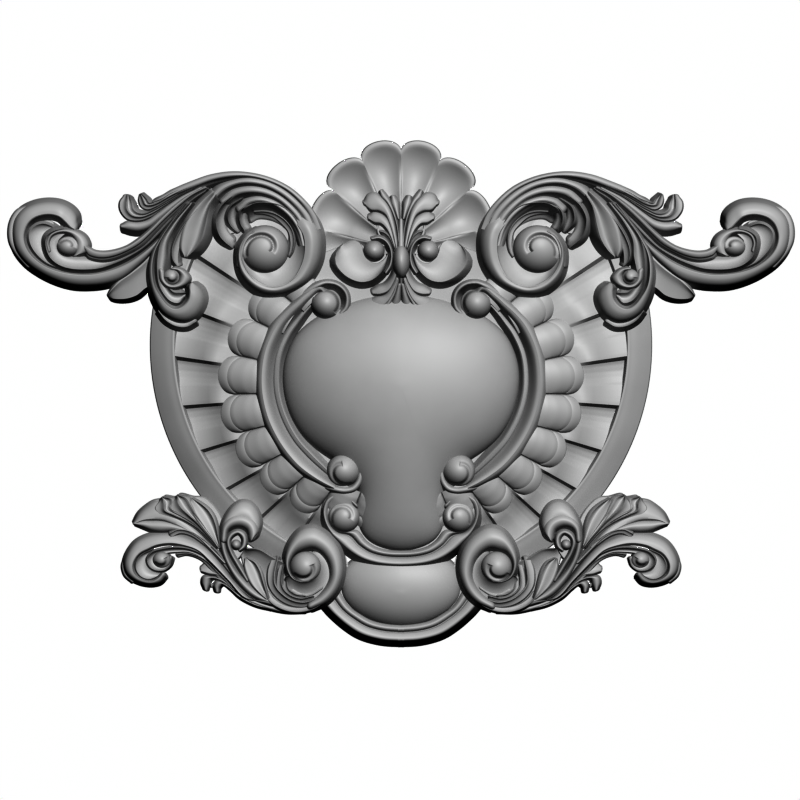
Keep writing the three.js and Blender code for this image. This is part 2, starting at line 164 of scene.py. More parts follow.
# %% [markdown]
# ## Closed solids
#
# Every stroke is a closed solid with its faces outwards, so that it also prints and mills well. A
# solid is kept as its points and its faces until a whole piece is put together. The volume tells
# which way the faces look, and turns them if they look inwards.

# %% Skin a row of rings, and turn a solid outwards
def outward(points, faces):
    points = np.asarray(points, dtype=float)
    volume = 0.0
    for face in faces:
        corner = points[face[0]]
        for i in range(1, len(face) - 1):
            volume += np.dot(corner, np.cross(points[face[i]], points[face[i + 1]]))
    if volume < 0:
        faces = [face[::-1] for face in faces]
    return points, faces


def skin(rings):
    width = len(rings[0])
    faces = []
    for ring in range(len(rings) - 1):
        low = ring * width
        for i in range(width):
            j = (i + 1) % width
            faces.append([low + i, low + j, low + width + j, low + width + i])
    last = (len(rings) - 1) * width
    faces.append(list(range(width))[::-1])
    faces.append([last + i for i in range(width)])
    return outward(np.vstack(rings), faces)


square = np.array([(0, 0, 0), (1, 0, 0), (1, 1, 0), (0, 1, 0)])
print("two square rings make a box of", len(skin([square, square + [0, 0, 1]])[1]), "faces")

# %% [markdown]
# ## The stroke
#
# Each rung of a ribbon joins two points on its edges: across and down on the first edge, across and
# down on the second, then the height of the crest, and the height of the foot where it matters. A rung
# without a height takes one from its neighbours. A wall leans outwards from the edge down to a knee, as
# a casting's must so that it comes out of its mould, and drops straight from there. The ends are
# rounded over.

# %% Fill in the heights that the drawing leaves out
def fill_heights(rungs, lift):
    order = np.arange(len(rungs))
    crests = np.array([rung[4] if len(rung) > 4 else np.nan for rung in rungs], dtype=float)
    feet = np.array([rung[5] if len(rung) > 5 else np.nan for rung in rungs], dtype=float)
    known = ~np.isnan(crests)
    crests = np.interp(order, order[known], crests[known])
    known = ~np.isnan(feet)
    feet = np.interp(order, order[known], feet[known]) if known.any() else crests - lift
    edges = np.array([rung[:4] for rung in rungs], dtype=float)
    return np.column_stack((edges, crests, feet))


print("crests", fill_heights([(0, 0, 0, 4, 9), (5, 0, 5, 4), (9, 0, 9, 4, 7)], 3)[:, 4])

# %% Make one stroke
ROWS_PER_SPAN = 6
END_TURNS = [math.radians(degrees) for degrees in (22.5, 45, 67.5, 87.75)]
END_REACH = 0.85
END_DROP = 3
WALL_SLOPE = 3
LEAST_TOP = 0.5
LEAST_KNEE = 0.3


def stroke(rungs, section, walls=(1.5, 1.5), lift=8, base=0, ends="both"):
    rows = smooth_run(fill_heights(rungs, lift), ROWS_PER_SPAN)
    first, second = rows[:, 0:2], rows[:, 2:4]
    crest, foot = rows[:, 4], rows[:, 5]
    middle = (first + second) / 2
    way = np.gradient(middle, axis=0)
    way /= np.maximum(np.linalg.norm(way, axis=1), 1e-6)[:, None]
    aside = np.column_stack((-way[:, 1], way[:, 0]))
    if np.sum(aside * (first - second)) < 0:
        aside = -aside

    def rounded(index, sign):
        half = (first[index] - second[index]) / 2
        spread = []
        for turn in END_TURNS:
            centre = middle[index] + sign * way[index] * np.linalg.norm(half) * math.sin(turn) * END_REACH
            share = math.cos(turn)
            ends_of_rung = (centre + half * share, centre - half * share)
            spread.append((*ends_of_rung, crest[index], foot[index], share, aside[index]))
        return spread

    places = [(first[i], second[i], crest[i], foot[i], 1.0, aside[i]) for i in range(len(rows))]
    if ends in ("both", "start"):
        places = rounded(0, -1)[::-1] + places
    if ends in ("both", "end"):
        places = places + rounded(len(rows) - 1, 1)
    shape = section_points(section)
    across = (shape[:, 0:1] + 1) / 2
    rings = []
    for one, two, high, low, share, side in places:
        fall = (1 - share**0.6) * (high - low + END_DROP)
        offs = np.maximum(low + (high - low) * shape[:, 1] - fall, base + LEAST_TOP)
        flanks = []
        for edge, lean, off in ((one, walls[0], offs[0]), (two, -walls[1], offs[-1])):
            spot = edge + side * lean * share
            knee = max(base + LEAST_KNEE, off - WALL_SLOPE * abs(lean) * share)
            flanks.append([np.append(spot, base), np.append(spot, knee)])
        tops = np.column_stack((one + (two - one) * across, offs))
        rings.append(np.vstack((flanks[0], tops, flanks[1][::-1])))
    return skin(rings)


print("a short roll has", len(stroke([(0, 0, 0, 4, 9), (9, 0, 9, 4)], "roll")[1]), "faces")

# %% [markdown]
# ## Bosses, eyes and slabs
#
# Berries and the oval at the heart of the palmette are plain domes. The eye of a scroll is a dome too,
# with a groove that is steep on its inner side and soft on its outer side. It starts at the angle
# "leaves", winds inwards through "turns" degrees, between the two shares of the radius in "spread", and
# dies out. A slab is the flat ground under thin leaves. All stand on the flat back.

# %% Make a boss, an eye and a slab
DOME_WALL = 1.2
BOSS_LEVELS = 9
GROOVE_STEEP = 1.5
GROOVE_SOFT = 3.0
POINTS_PER_SLAB_SPAN = 5


def oval(x, y, wide, high, off, sides):
    turn = np.arange(sides) * 2 * math.pi / sides
    circle = np.column_stack((np.cos(turn), -np.sin(turn)))
    return np.column_stack((np.array([x, y]) + circle * [wide, high], off + np.zeros(sides)))


def boss(x, y, wide, high, crest, foot, sides=36):
    rings = [oval(x, y, wide + DOME_WALL, high + DOME_WALL, 0, sides)]
    for level in range(BOSS_LEVELS):
        share = math.cos(level / BOSS_LEVELS * math.pi / 2)
        off = foot + (crest - foot) * math.sqrt(1 - share**2)
        rings.append(oval(x, y, wide * share, high * share, off, sides))
    rings.append(oval(x, y, wide / 50, high / 50, crest, sides))
    return skin(rings)


def eye(x, y, wide, high, crest, foot, leaves, turns, depth, spread, sides=96, levels=36):
    angles = np.degrees(np.arange(sides) * 2 * math.pi / sides)
    gone = np.mod((angles - leaves) * np.sign(turns), 360) / abs(turns)
    fades = np.clip(1.02 - gone, 0, 1) ** 0.3 * (gone <= 1) * np.minimum(1, 0.25 + 2.5 * gone)
    track = spread[0] + (spread[1] - spread[0]) * np.minimum(gone, 1)
    rings = [oval(x, y, wide + DOME_WALL, high + DOME_WALL, 0, sides)]
    for level in range(levels):
        share = math.cos(level / levels * math.pi / 2)
        off = foot + (crest - foot) * math.sqrt(1 - share**2)
        away = (share - track) * (wide + high) / 2
        cut = depth * fades * np.exp(-(away / np.where(away < 0, GROOVE_STEEP, GROOVE_SOFT)) ** 2)
        rings.append(oval(x, y, wide * share, high * share, off - cut, sides))
    rings.append(oval(x, y, 0.1, 0.1, crest, sides))
    return skin(rings)


def slab(outline, off):
    edge = smooth_loop(outline, POINTS_PER_SLAB_SPAN)
    outwards = edge - edge.mean(axis=0)
    outwards /= np.linalg.norm(outwards, axis=1)[:, None]
    rings = []
    for shift, height in ((1.5, 0.0), (0.0, off - 1.0), (-1.0, float(off))):
        rings.append(np.column_stack((edge + outwards * shift, np.full(len(edge), height))))
    return skin(rings)


print("a berry has", len(boss(0, 0, 5, 5, 9, 4)[0]), "points")

# %% [markdown]
# ## Putting a piece together
#
# The strokes of one piece go into one mesh. Its faces are smooth, and an edge is kept crisp where two
# faces meet at more than 38 degrees, or at another angle that the piece names. The side pieces are
# drawn on the left and mirrored. A mirror turns faces inside out, so they are turned back, and so does
# the step to metres, because the sheet counts downwards.

# %% Place and mirror solids, and make an object from them
def placed(solids):
    return [(to_metres(points), [[face[0], *face[:0:-1]] for face in faces]) for points, faces in solids]


def both_sides(solids):
    mirrored = [(points * [-1, 1, 1], [face[::-1] for face in faces]) for points, faces in solids]
    return solids + mirrored


def signed_volume(mesh):
    mesh.calc_loop_triangles()
    corners = np.zeros(len(mesh.vertices) * 3)
    mesh.vertices.foreach_get("co", corners)
    corners = corners.reshape(-1, 3)
    index = np.zeros(len(mesh.loop_triangles) * 3, dtype=int)
    mesh.loop_triangles.foreach_get("vertices", index)
    a, b, c = (corners[index.reshape(-1, 3)[:, k]] for k in range(3))
    return float(np.sum(a * np.cross(b, c)) / 6)


def make_piece(name, solids, material, crisp=38):
    faces = []
    count = 0
    for points, some_faces in solids:
        faces.extend([[count + i for i in face] for face in some_faces])
        count += len(points)
    mesh = bpy.data.meshes.new(name)
    mesh.from_pydata(np.vstack([points for points, _ in solids]).tolist(), [], faces)
    mesh.validate()
    mesh.update()
    mesh.shade_smooth()
    mesh.set_sharp_from_angle(angle=math.radians(crisp))
    mesh.materials.append(material)
    piece = bpy.data.objects.new(name, mesh)
    bpy.context.scene.collection.objects.link(piece)
    triangles = sum(len(face.vertices) - 2 for face in mesh.polygons)
    litres = round(signed_volume(mesh) * 1000, 3)
    print(name, len(solids), "solids,", triangles, "triangles,", litres, "litres summed")
    return piece


# %% [markdown]
# ## The finish: cast resin, primed satin grey
#
# The casting is sold bare or primed. Cast resin in a silicone mould is smooth and slightly waxy, so
# its gloss is satin and its edges a little soft. To the eye it gives one neutral grey with faint
# cloudiness, where the gloss changes with the tone, and a fine tooth that only shows in a raking light.

# %% Colour and node helpers
def from_hex(code):
    values = [int(code[i:i + 2], 16) / 255 for i in (1, 3, 5)]
    linear = [v / 12.92 if v <= 0.04045 else ((v + 0.055) / 1.055) ** 2.4 for v in values]
    return (*linear, 1.0)


def add_node(tree, kind, settings=None, inputs=None):
    made = tree.nodes.new(kind)
    for key, value in (settings or {}).items():
        setattr(made, key, value)
    for key, value in (inputs or {}).items():
        socket = made.inputs[key]
        if isinstance(value, bpy.types.NodeSocket):
            tree.links.new(value, socket)
        else:
            socket.default_value = value
    return made


def empty_tree(owner):
    owner.use_nodes = True
    owner.node_tree.nodes.clear()
    return owner.node_tree


print("primer grey in linear light", [round(v, 3) for v in from_hex("#818181")])

# %% The primed resin
TOOTH_SIZE = 0.0006
CLOUD_SIZE = 0.035


def primed_resin():
    material = bpy.data.materials.new("cast_resin_primed_satin_grey")
    tree = empty_tree(material)
    place = add_node(tree, "ShaderNodeTexCoord")
    clouds = add_node(tree, "ShaderNodeTexNoise", {}, {
        "Vector": place.outputs["Object"], "Scale": 1 / CLOUD_SIZE, "Detail": 3.0, "Roughness": 0.5})
    tooth = add_node(tree, "ShaderNodeTexNoise", {}, {
        "Vector": place.outputs["Object"], "Scale": 1 / TOOTH_SIZE, "Detail": 2.0, "Roughness": 0.6})
    tone = add_node(tree, "ShaderNodeMix", {"data_type": "RGBA"}, {
        "Factor": clouds.outputs["Fac"], "A": from_hex("#818181"), "B": from_hex("#878787")})
    dull = add_node(tree, "ShaderNodeMapRange", {}, {
        "Value": clouds.outputs["Fac"], "To Min": 0.5, "To Max": 0.62})
    bump = add_node(tree, "ShaderNodeBump", {}, {
        "Height": tooth.outputs["Fac"], "Strength": 0.08, "Distance": 0.0001})
    shader = add_node(tree, "ShaderNodeBsdfPrincipled", {}, {
        "Base Color": tone.outputs["Result"], "Roughness": dull.outputs["Result"],
        "Normal": bump.outputs["Normal"], "IOR": 1.5, "Specular IOR Level": 0.25})
    add_node(tree, "ShaderNodeOutputMaterial", {}, {"Surface": shader.outputs["BSDF"]})
    return material


resin = primed_resin()
print("made", resin.name)

# %% [markdown]
# ## Fans by rule
#
# The plate's flutes, the two rings of tongues and the shell's lobes are all wedges laid side by side
# round a centre, each a little longer or shorter than the last. One Geometry Nodes tree lays them out:
# it takes a unit wedge, turns one copy for each sector, and stretches it to the reach that the rule
# gives for that direction. A sector may grow from one to the next, as the lobes of a shell do.

# %% Build the fan tree
UNIT_HALF = math.radians(6.5)


def fan_tree():
    tree = bpy.data.node_groups.new("fan_of_wedges", "GeometryNodeTree")
    face = tree.interface
    face.new_socket("Geometry", in_out="INPUT", socket_type="NodeSocketGeometry")
    face.new_socket("Unit wedge", in_out="INPUT", socket_type="NodeSocketObject")
    face.new_socket("Count", in_out="INPUT", socket_type="NodeSocketInt")
    for name in ("First angle", "Sector", "Growth", "Reach", "Lean", "Bend", "Centre height"):
        face.new_socket(name, in_out="INPUT", socket_type="NodeSocketFloat")
    face.new_socket("Finish", in_out="INPUT", socket_type="NodeSocketMaterial")
    face.new_socket("Geometry", in_out="OUTPUT", socket_type="NodeSocketGeometry")
    given = add_node(tree, "NodeGroupInput").outputs

    def calc(operation, a, b=0.0):
        return add_node(tree, "ShaderNodeMath", {"operation": operation}, {0: a, 1: b}).outputs[0]

    index = add_node(tree, "GeometryNodeInputIndex").outputs[0]
    half_on = calc("ADD", index, 0.5)
    squared = calc("ADD", calc("MULTIPLY", index, calc("ADD", index, 1.0)), 0.5)
    grown = calc("MULTIPLY", given["Growth"], squared)
    turned = calc("ADD", calc("MULTIPLY", given["Sector"], half_on), grown)
    angle = calc("RADIANS", calc("SUBTRACT", given["First angle"], turned))
    sine = calc("SINE", angle)
    lean = calc("MULTIPLY", given["Lean"], sine)
    bend = calc("MULTIPLY", given["Bend"], calc("MULTIPLY", sine, sine))
    reach = calc("ADD", given["Reach"], calc("ADD", lean, bend))
    wider = calc("MULTIPLY", given["Growth"], calc("MULTIPLY", half_on, 2.0))
    half_width = calc("DIVIDE", calc("ADD", given["Sector"], wider), 2.0)
    spread = calc("DIVIDE", calc("TANGENT", calc("RADIANS", half_width)), math.tan(UNIT_HALF))
    turn = add_node(tree, "ShaderNodeCombineXYZ", {}, {"Z": angle})
    size = add_node(tree, "ShaderNodeCombineXYZ", {}, {
        "X": reach, "Y": calc("MULTIPLY", reach, spread), "Z": 1.0})
    points = add_node(tree, "GeometryNodePoints", {}, {"Count": given["Count"]})
    unit = add_node(tree, "GeometryNodeObjectInfo", {}, {"Object": given["Unit wedge"]})
    spots = add_node(tree, "GeometryNodeInstanceOnPoints", {}, {
        "Points": points.outputs[0], "Instance": unit.outputs["Geometry"],
        "Rotation": turn.outputs[0], "Scale": size.outputs[0]})
    lift = add_node(tree, "ShaderNodeCombineXYZ", {}, {"Z": given["Centre height"]})
    solid = add_node(tree, "GeometryNodeRealizeInstances", {}, {"Geometry": spots.outputs[0]})
    stood = add_node(tree, "GeometryNodeTransform", {}, {
        "Geometry": solid.outputs[0], "Translation": lift.outputs[0], "Rotation": (math.pi / 2, 0, 0)})
    dressed = add_node(tree, "GeometryNodeSetMaterial", {}, {
        "Geometry": stood.outputs[0], "Material": given["Finish"]})
    add_node(tree, "NodeGroupOutput", {}, {"Geometry": dressed.outputs[0]})
    return tree


fan_of_wedges = fan_tree()
print("the fan tree has", len(fan_of_wedges.nodes), "nodes")

# %% [markdown]
# ## The unit wedge
#
# A unit wedge reaches from the centre out to 1. Its height follows a small function of the place across
# it and along it, so one maker serves flutes, tongues and lobes. Its outer end may be round.

# %% Make a unit wedge
ROUND_SHARE = 0.97


def unit_wedge(name, height_at, inner, steps, across, end_round=0.0, end_wall=0.01):
    shares = np.linspace(-1, 1, across)
    reaches = [1 - end_round * (1 - math.sqrt(1 - (ROUND_SHARE * share) ** 2)) for share in shares]

    def spot(share, radius, off):
        angle = share * UNIT_HALF
        return (radius * math.cos(angle), radius * math.sin(angle), off * SQUARE)

    def ring(radii, offs):
        tops = [spot(share, radius, off) for share, radius, off in zip(shares, radii, offs)]
        return np.array([spot(-1, radii[0], 0)] + tops + [spot(1, radii[-1], 0)])

    rings = []
    for t in (step / steps for step in range(steps + 1)):
        radii = [inner + (reach - inner) * t for reach in reaches]
        rings.append(ring(radii, [height_at(share, t) for share in shares]))
    rings.append(ring([reach + end_wall for reach in reaches], [0] * across))
    points, faces = skin(rings)
    mesh = bpy.data.meshes.new(name)
    mesh.from_pydata(points.tolist(), [], faces)
    mesh.update()
    made = bpy.data.objects.new(name, mesh)
    bpy.context.scene.collection.objects.link(made)
    print(name, "has", len(faces), "faces")
    return made


# %% Fan a unit wedge out
def fan_out(unit, **sizes):
    carrier = bpy.data.objects.new("fan_carrier", bpy.data.meshes.new("fan_carrier"))
    bpy.context.scene.collection.objects.link(carrier)
    modifier = carrier.modifiers.new("fan", "NODES")
    modifier.node_group = fan_of_wedges
    values = {"Unit wedge": unit, "Finish": resin, **sizes}
    for item in fan_of_wedges.interface.items_tree:
        if item.in_out == "INPUT" and item.name in values:
            modifier[item.identifier] = values[item.name]
    graph = bpy.context.evaluated_depsgraph_get()
    mesh = bpy.data.meshes.new_from_object(carrier.evaluated_get(graph), depsgraph=graph)
    spots = np.zeros(len(mesh.vertices) * 3)
    mesh.vertices.foreach_get("co", spots)
    faces = [list(face.vertices) for face in mesh.polygons]
    for old in (carrier, unit):
        bpy.data.objects.remove(old)
    return both_sides([(spots.reshape(-1, 3), faces)])


# %% [markdown]
# ## The fluted plate
#
# The plate is a disc with a plain sloping rim. Its flutes run in towards the middle of the shield. Each
# is a wide shallow hollow, then a narrower ridge, then a sharp step down to the next, and they rise
# towards the middle. The flute beside the shell is shorter.

# %% Fan out the flutes, and add the rim
def flute_height(share, t):
    low_to_high = (1 - share) / 2
    wave = np.interp(low_to_high, [0, 0.06, 0.2, 0.33, 0.44, 0.5, 0.6, 0.74, 0.86, 0.925, 1],
                     [-2.2, -2.9, -3.1, -2.4, -1.2, -0.1, 0.8, 1.9, 2.7, 2.9, -2.2])
    rise = np.interp(t, [0, 0.3, 0.42, 0.5, 0.57, 0.69, 0.815, 0.914, 1],
                     [30.5, 30.5, 30, 27.4, 23.8, 17.6, 14.2, 12.6, 11.4])
    return rise + wave * np.interp(t, [0, 0.3, 0.42, 0.5, 1], [0.1, 0.25, 0.7, 1.4, 1.2])


FIELD_UP = 0.0075
flute_rule = {"Sector": 12.6, "Growth": 0.0, "Lean": 44 * SQUARE, "Bend": 0.0, "Centre height": FIELD_UP}
flutes = []
for name, count, first_angle, reach in (("unit_flute", 9, 45.4, 226), ("short_flute", 1, 58.0, 200)):
    unit = unit_wedge(name, flute_height, 0.64, steps=12, across=41)
    places = {"Count": count, "First angle": first_angle, "Reach": reach * SQUARE}
    flutes += fan_out(unit, **places, **flute_rule)

rim_rungs = []
for degrees in np.linspace(148, 272, 36):
    c, s = math.cos(math.radians(degrees)), math.sin(math.radians(degrees))
    rim_rungs.append((401 + 251 * c, 345 - 251 * s, 401 + 227 * c, 345 - 227 * s, 17, 5.5))
rim = stroke(rim_rungs, "rim", walls=(0.8, 2.5), ends="none")
plate = make_piece("fluted_plate", flutes + both_sides(placed([rim])), resin, crisp=30)

# %% [markdown]
# ## The tongues
#
# A ring of round-ended tongues laps over the flutes, in two steps, like petals. The upper step is the
# same fan, drawn in by nine squares and raised. A slab fills the ground between the shell and the
# shield, and a lower bed behind the shield closes every gap at its edge.

# %% Fan out both steps of tongues, and lay the ground
def side_seam(share):
    return 3.5 * share**2 + 1.4 * max(0.0, (abs(share) - 0.92) / 0.08) ** 2


def tongue_height(share, t):
    return np.interp(t, [0, 0.8, 0.98, 1], [40.5, 38.5, 34.7, 33.5]) - side_seam(share)


def upper_height(share, t):
    return np.interp(t, [0.3, 0.6, 0.97, 1], [47.5, 45, 39.8, 38.5]) - side_seam(share)


tongue_rule = {"Count": 10, "First angle": 52.0, "Sector": 13.4, "Growth": 0.0, "Lean": 5.7 * SQUARE,
               "Bend": -36.6 * SQUARE, "Centre height": FIELD_UP}
petals = []
for height_at, reach, end_wall in ((tongue_height, 183.3, 0.006), (upper_height, 174.3, 0.004)):
    unit = unit_wedge("unit_tongue", height_at, 0.78, steps=16, across=31, end_round=0.1, end_wall=end_wall)
    petals += fan_out(unit, Reach=reach * SQUARE, **tongue_rule)
ground = slab([(306, 262), (330, 250), (401, 232), (472, 250), (496, 262), (494, 276), (480, 292),
    (468, 306), (401, 330), (334, 306), (322, 292), (308, 276)], 33)
bed = slab([(401, 288), (330, 300), (292, 328), (273, 368), (272, 410), (288, 448), (322, 480), (345, 505),
    (346, 540), (368, 556), (401, 561), (434, 556), (456, 540), (457, 505), (480, 480), (514, 448),
    (530, 410), (529, 368), (510, 328), (472, 300)], 24)
tongues = make_piece("petal_tongues", petals + placed([ground, bed]), resin, crisp=30)

# %% [markdown]
# ## The domed field
#
# The shield is an oval that swells steeply from its foot and runs down into a round-ended tongue. The
# bowl at the very foot of the cartouche is a smaller oval of the same kind. Each is drawn by its edge
# alone. Its height is that of a thin skin, held at the edge and blown up from below: a net of triangles
# solves that, and a square root makes it steep at the foot and flat on top.

# %% The rise of a blown skin
def blown_rise(spots, triangles, held):
    stiff = np.zeros((len(spots), len(spots)))
    load = np.zeros(len(spots))
    corner = spots[triangles]
    edges = np.roll(corner, 1, axis=1) - np.roll(corner, -1, axis=1)
    area = np.abs(edges[:, 0, 0] * edges[:, 1, 1] - edges[:, 0, 1] * edges[:, 1, 0]) / 2 + 1e-9
    for i in range(3):
        np.add.at(load, triangles[:, i], area / 3)
        for j in range(3):
            pull = np.sum(edges[:, i] * edges[:, j], axis=1) / (4 * area)
            np.add.at(stiff, (triangles[:, i], triangles[:, j]), pull)
    inside = np.arange(held, len(spots))
    rise = np.zeros(len(spots))
    rise[inside] = np.linalg.solve(stiff[np.ix_(inside, inside)], load[inside])
    return np.maximum(rise, 0) / rise.max()


corners = np.array([(0, 0), (4, 0), (4, 4), (0, 4), (2, 2)], dtype=float)
print("a small skin rises", blown_rise(corners, np.array([(0, 1, 4), (1, 2, 4), (2, 3, 4), (3, 0, 4)]), 4))

# %% Swell an outline like a cushion
def swell(outline, pole, foot, crest, levels):
    sides = len(outline)
    pole = np.array(pole, dtype=float)
    shares = [math.cos(level / levels * math.pi / 2) for level in range(levels)]
    spots = np.vstack([pole + (outline - pole) * share for share in shares] + [pole[None, :]])
    triangles = []
    for ring in range(levels - 1):
        for i in range(sides):
            a, b = ring * sides + i, ring * sides + (i + 1) % sides
            triangles.append((a, b, b + sides))
            triangles.append((a, b + sides, a + sides))
    last = (levels - 1) * sides
    for i in range(sides):
        triangles.append((last + i, last + (i + 1) % sides, levels * sides))
    offs = foot + (crest - foot) * blown_rise(spots, np.array(triangles), sides) ** 0.5
    way = outline - pole
    way = way / np.linalg.norm(way, axis=1)[:, None]
    rings = [np.column_stack((outline + way * DOME_WALL, np.zeros(sides)))]
    for level in range(levels):
        part = slice(level * sides, (level + 1) * sides)
        rings.append(np.column_stack((spots[part], offs[part])))
    rings.append(np.column_stack((pole + (outline - pole) * 0.02, np.full(sides, offs[-1]))))
    return skin(rings)


def mirrored_loop(half, per_span):
    other = [(2 * CENTRE - x, y) for x, y in half[-2:0:-1]]
    return smooth_loop(half + other, per_span)


# %% Swell the shield and the bowl
shield_edge = mirrored_loop([(401, 295), (372, 296.5), (350, 302.5), (330, 310.5), (313, 319.5), (296, 335),
    (286.5, 354), (282.8, 371), (283, 388), (286, 404), (292, 420), (303, 437), (318, 451), (334, 462),
    (347, 473), (355, 488), (357.5, 505), (358, 520), (361, 531), (369, 541), (383, 548), (401, 551)], 3)
bowl_edge = mirrored_loop([(401, 548), (375, 551), (353, 560), (344, 570), (340.7, 584), (343, 597),
    (352, 609), (366, 618.5), (383, 625), (401, 627)], 4)
domes = [swell(shield_edge, (401, 387), 28, 76, levels=17), swell(bowl_edge, (401, 592), 12, 37, levels=13)]
field = make_piece("domed_field", placed(domes), resin, crisp=60)

# %% [markdown]
# ## The scallop shell
#
# Eight hollow lobes open from a hinge behind the palmette. Each is scooped along its length and cupped
# across, so that a ridge stands where two lobes meet, and a thin rim runs round its end. It is the
# same fan, with sectors that grow from the top lobe to the last.

# %% Fan out the shell
RIM_STARTS = 0.95
RIM_DROPS = 0.985
LOBE_LONG = 95
SCOOP_LONG = 45
SHELL_UP = 0.1125


def lobe_height(share, t):
    inwards = max(0.0, RIM_STARTS - t) * LOBE_LONG
    near, far = min(inwards, SCOOP_LONG), max(0.0, inwards - SCOOP_LONG)
    scoop = 0.0131 * near**2 - 0.65 * near + 0.42 * far
    cup = 6.5 * math.sin(math.pi * max(0.0, RIM_STARTS - t) / RIM_STARTS) ** 0.7
    edge = min(1.0, abs(share) / 0.9)
    return 30 + scoop + cup * edge**2 - 50 * max(0.0, t - RIM_DROPS)


unit = unit_wedge("unit_lobe", lobe_height, 0.12, steps=44, across=33, end_round=0.14, end_wall=0.012)
lobes = fan_out(unit, **{"Count": 4, "First angle": 90.0, "Sector": 22.4, "Growth": 0.95, "Bend": 0.0,
                         "Reach": 86.6 * SQUARE, "Lean": 24.6 * SQUARE, "Centre height": SHELL_UP})
shell = make_piece("scallop_shell", lobes, resin, crisp=40)

# %% [markdown]
# ## The scrolled frame
#
# A moulded frame curls round the shield: a rounded outer member, a cove, an inner bead and a fillet.
# It starts in a small scroll round a ball at the top, and ends in one below. Two more frames of the
# same family hold the lower tongue of the shield and the bowl.

# %% Carve the three frames
scroll_frame = [
    stroke([(328, 291, 325, 304, 48, 39), (318, 283, 322, 299, 52, 39), (305, 290, 313, 309, 53, 38),
        (293, 299.5, 306, 318, 54, 36), (281, 309, 301, 326, 54, 33.5), (269.5, 322, 293.5, 337.5),
        (258, 347, 286, 355), (253.5, 371, 283.5, 373), (254, 395, 284.5, 393), (260, 421, 291, 415),
        (273, 447, 303, 437), (290, 469, 316, 451), (306, 480.5, 326, 462), (321, 488, 333, 470.5, 54),
        (333, 492, 338, 478, 53, 33)], "frame", walls=(2, 1.5), lift=21, ends="none"),
    stroke([(300, 293.5, 305, 299, 47), (310, 286.3, 314, 291.5, 52), (318, 282.5, 319.5, 287.5, 54),
        (326, 280.5, 325.8, 285),
        (335, 281.5, 333.5, 285.5, 53)], "roll", walls=(1.5, 1), lift=5, ends="none"),
    stroke([(322, 281.3, 322.8, 285.5, 52), (328, 280.5, 327.5, 285, 53.5), (335, 281.5, 333.5, 285.5),
        (342.5, 285.5, 339.8, 288.8, 52), (347.7, 292, 344, 293.8), (349.5, 300, 345.3, 300),
        (348, 309, 343.5, 307.5),
        (343, 315, 339, 312.5, 46)], "roll", walls=(1.5, 6), lift=5, base=30, ends="end"),
    stroke([(318, 487.5, 322, 481, 44), (333, 492, 335, 485.5, 52), (345, 494, 345, 487),
        (355, 491.5, 351.5, 485.5), (361, 485, 355.5, 480.5, 52), (363.5, 477, 357, 475.5),
        (362.5, 468.5, 357.5, 470), (357.5, 461, 353.5, 465),
        (350, 456, 348, 461, 54)], "roll", walls=(2, 2), lift=7),
    eye(326, 303.5, 15.4, 15.4, 61, 40, leaves=150, turns=-195, depth=15, spread=(0.94, 0.84)),
    eye(343.5, 470.5, 16.5, 16.2, 64, 44, leaves=-60, turns=-200, depth=6, spread=(0.95, 0.4)),
    stroke([(357, 504, 352.5, 510, 46), (348, 496.5, 345.5, 504), (336, 494, 338.5, 504),
        (326.5, 499, 332.5, 509), (322.5, 510, 331, 517, 42), (324.5, 522, 333.5, 526),
        (330, 533, 342, 531.5), (339, 543.5, 356.5, 531), (349.5, 552.5, 365.5, 541),
        (361, 559.5, 374, 547), (375, 564, 383, 550), (390, 566, 392.5, 551.3),
        (403, 566.5, 403, 551.5, 40)], "low_frame", walls=(5, 1), lift=12, ends="start"),
    eye(344, 517, 15.5, 15.5, 55, 38, leaves=210, turns=-230, depth=6, spread=(0.88, 0.42)),
    stroke([(308, 592, 333, 579, 27), (321, 602, 340, 594), (332.5, 614.5, 348.5, 607),
        (347, 627, 360, 615.5), (361, 635.5, 371, 621.5), (381, 641, 385, 625),
        (404, 642.5, 404, 626.5, 28)], "low_frame", walls=(5.5, 1), lift=10, ends="start"),
]
frames = make_piece("scroll_frame", both_sides(placed(scroll_frame)), resin)

# %% [markdown]
# ## The palmette
#
# A bunch of small leaves springs from an oval boss in front of the shell's hinge, up and down. At each
# side a berry sits in a little scroll, over a cup that catches it.

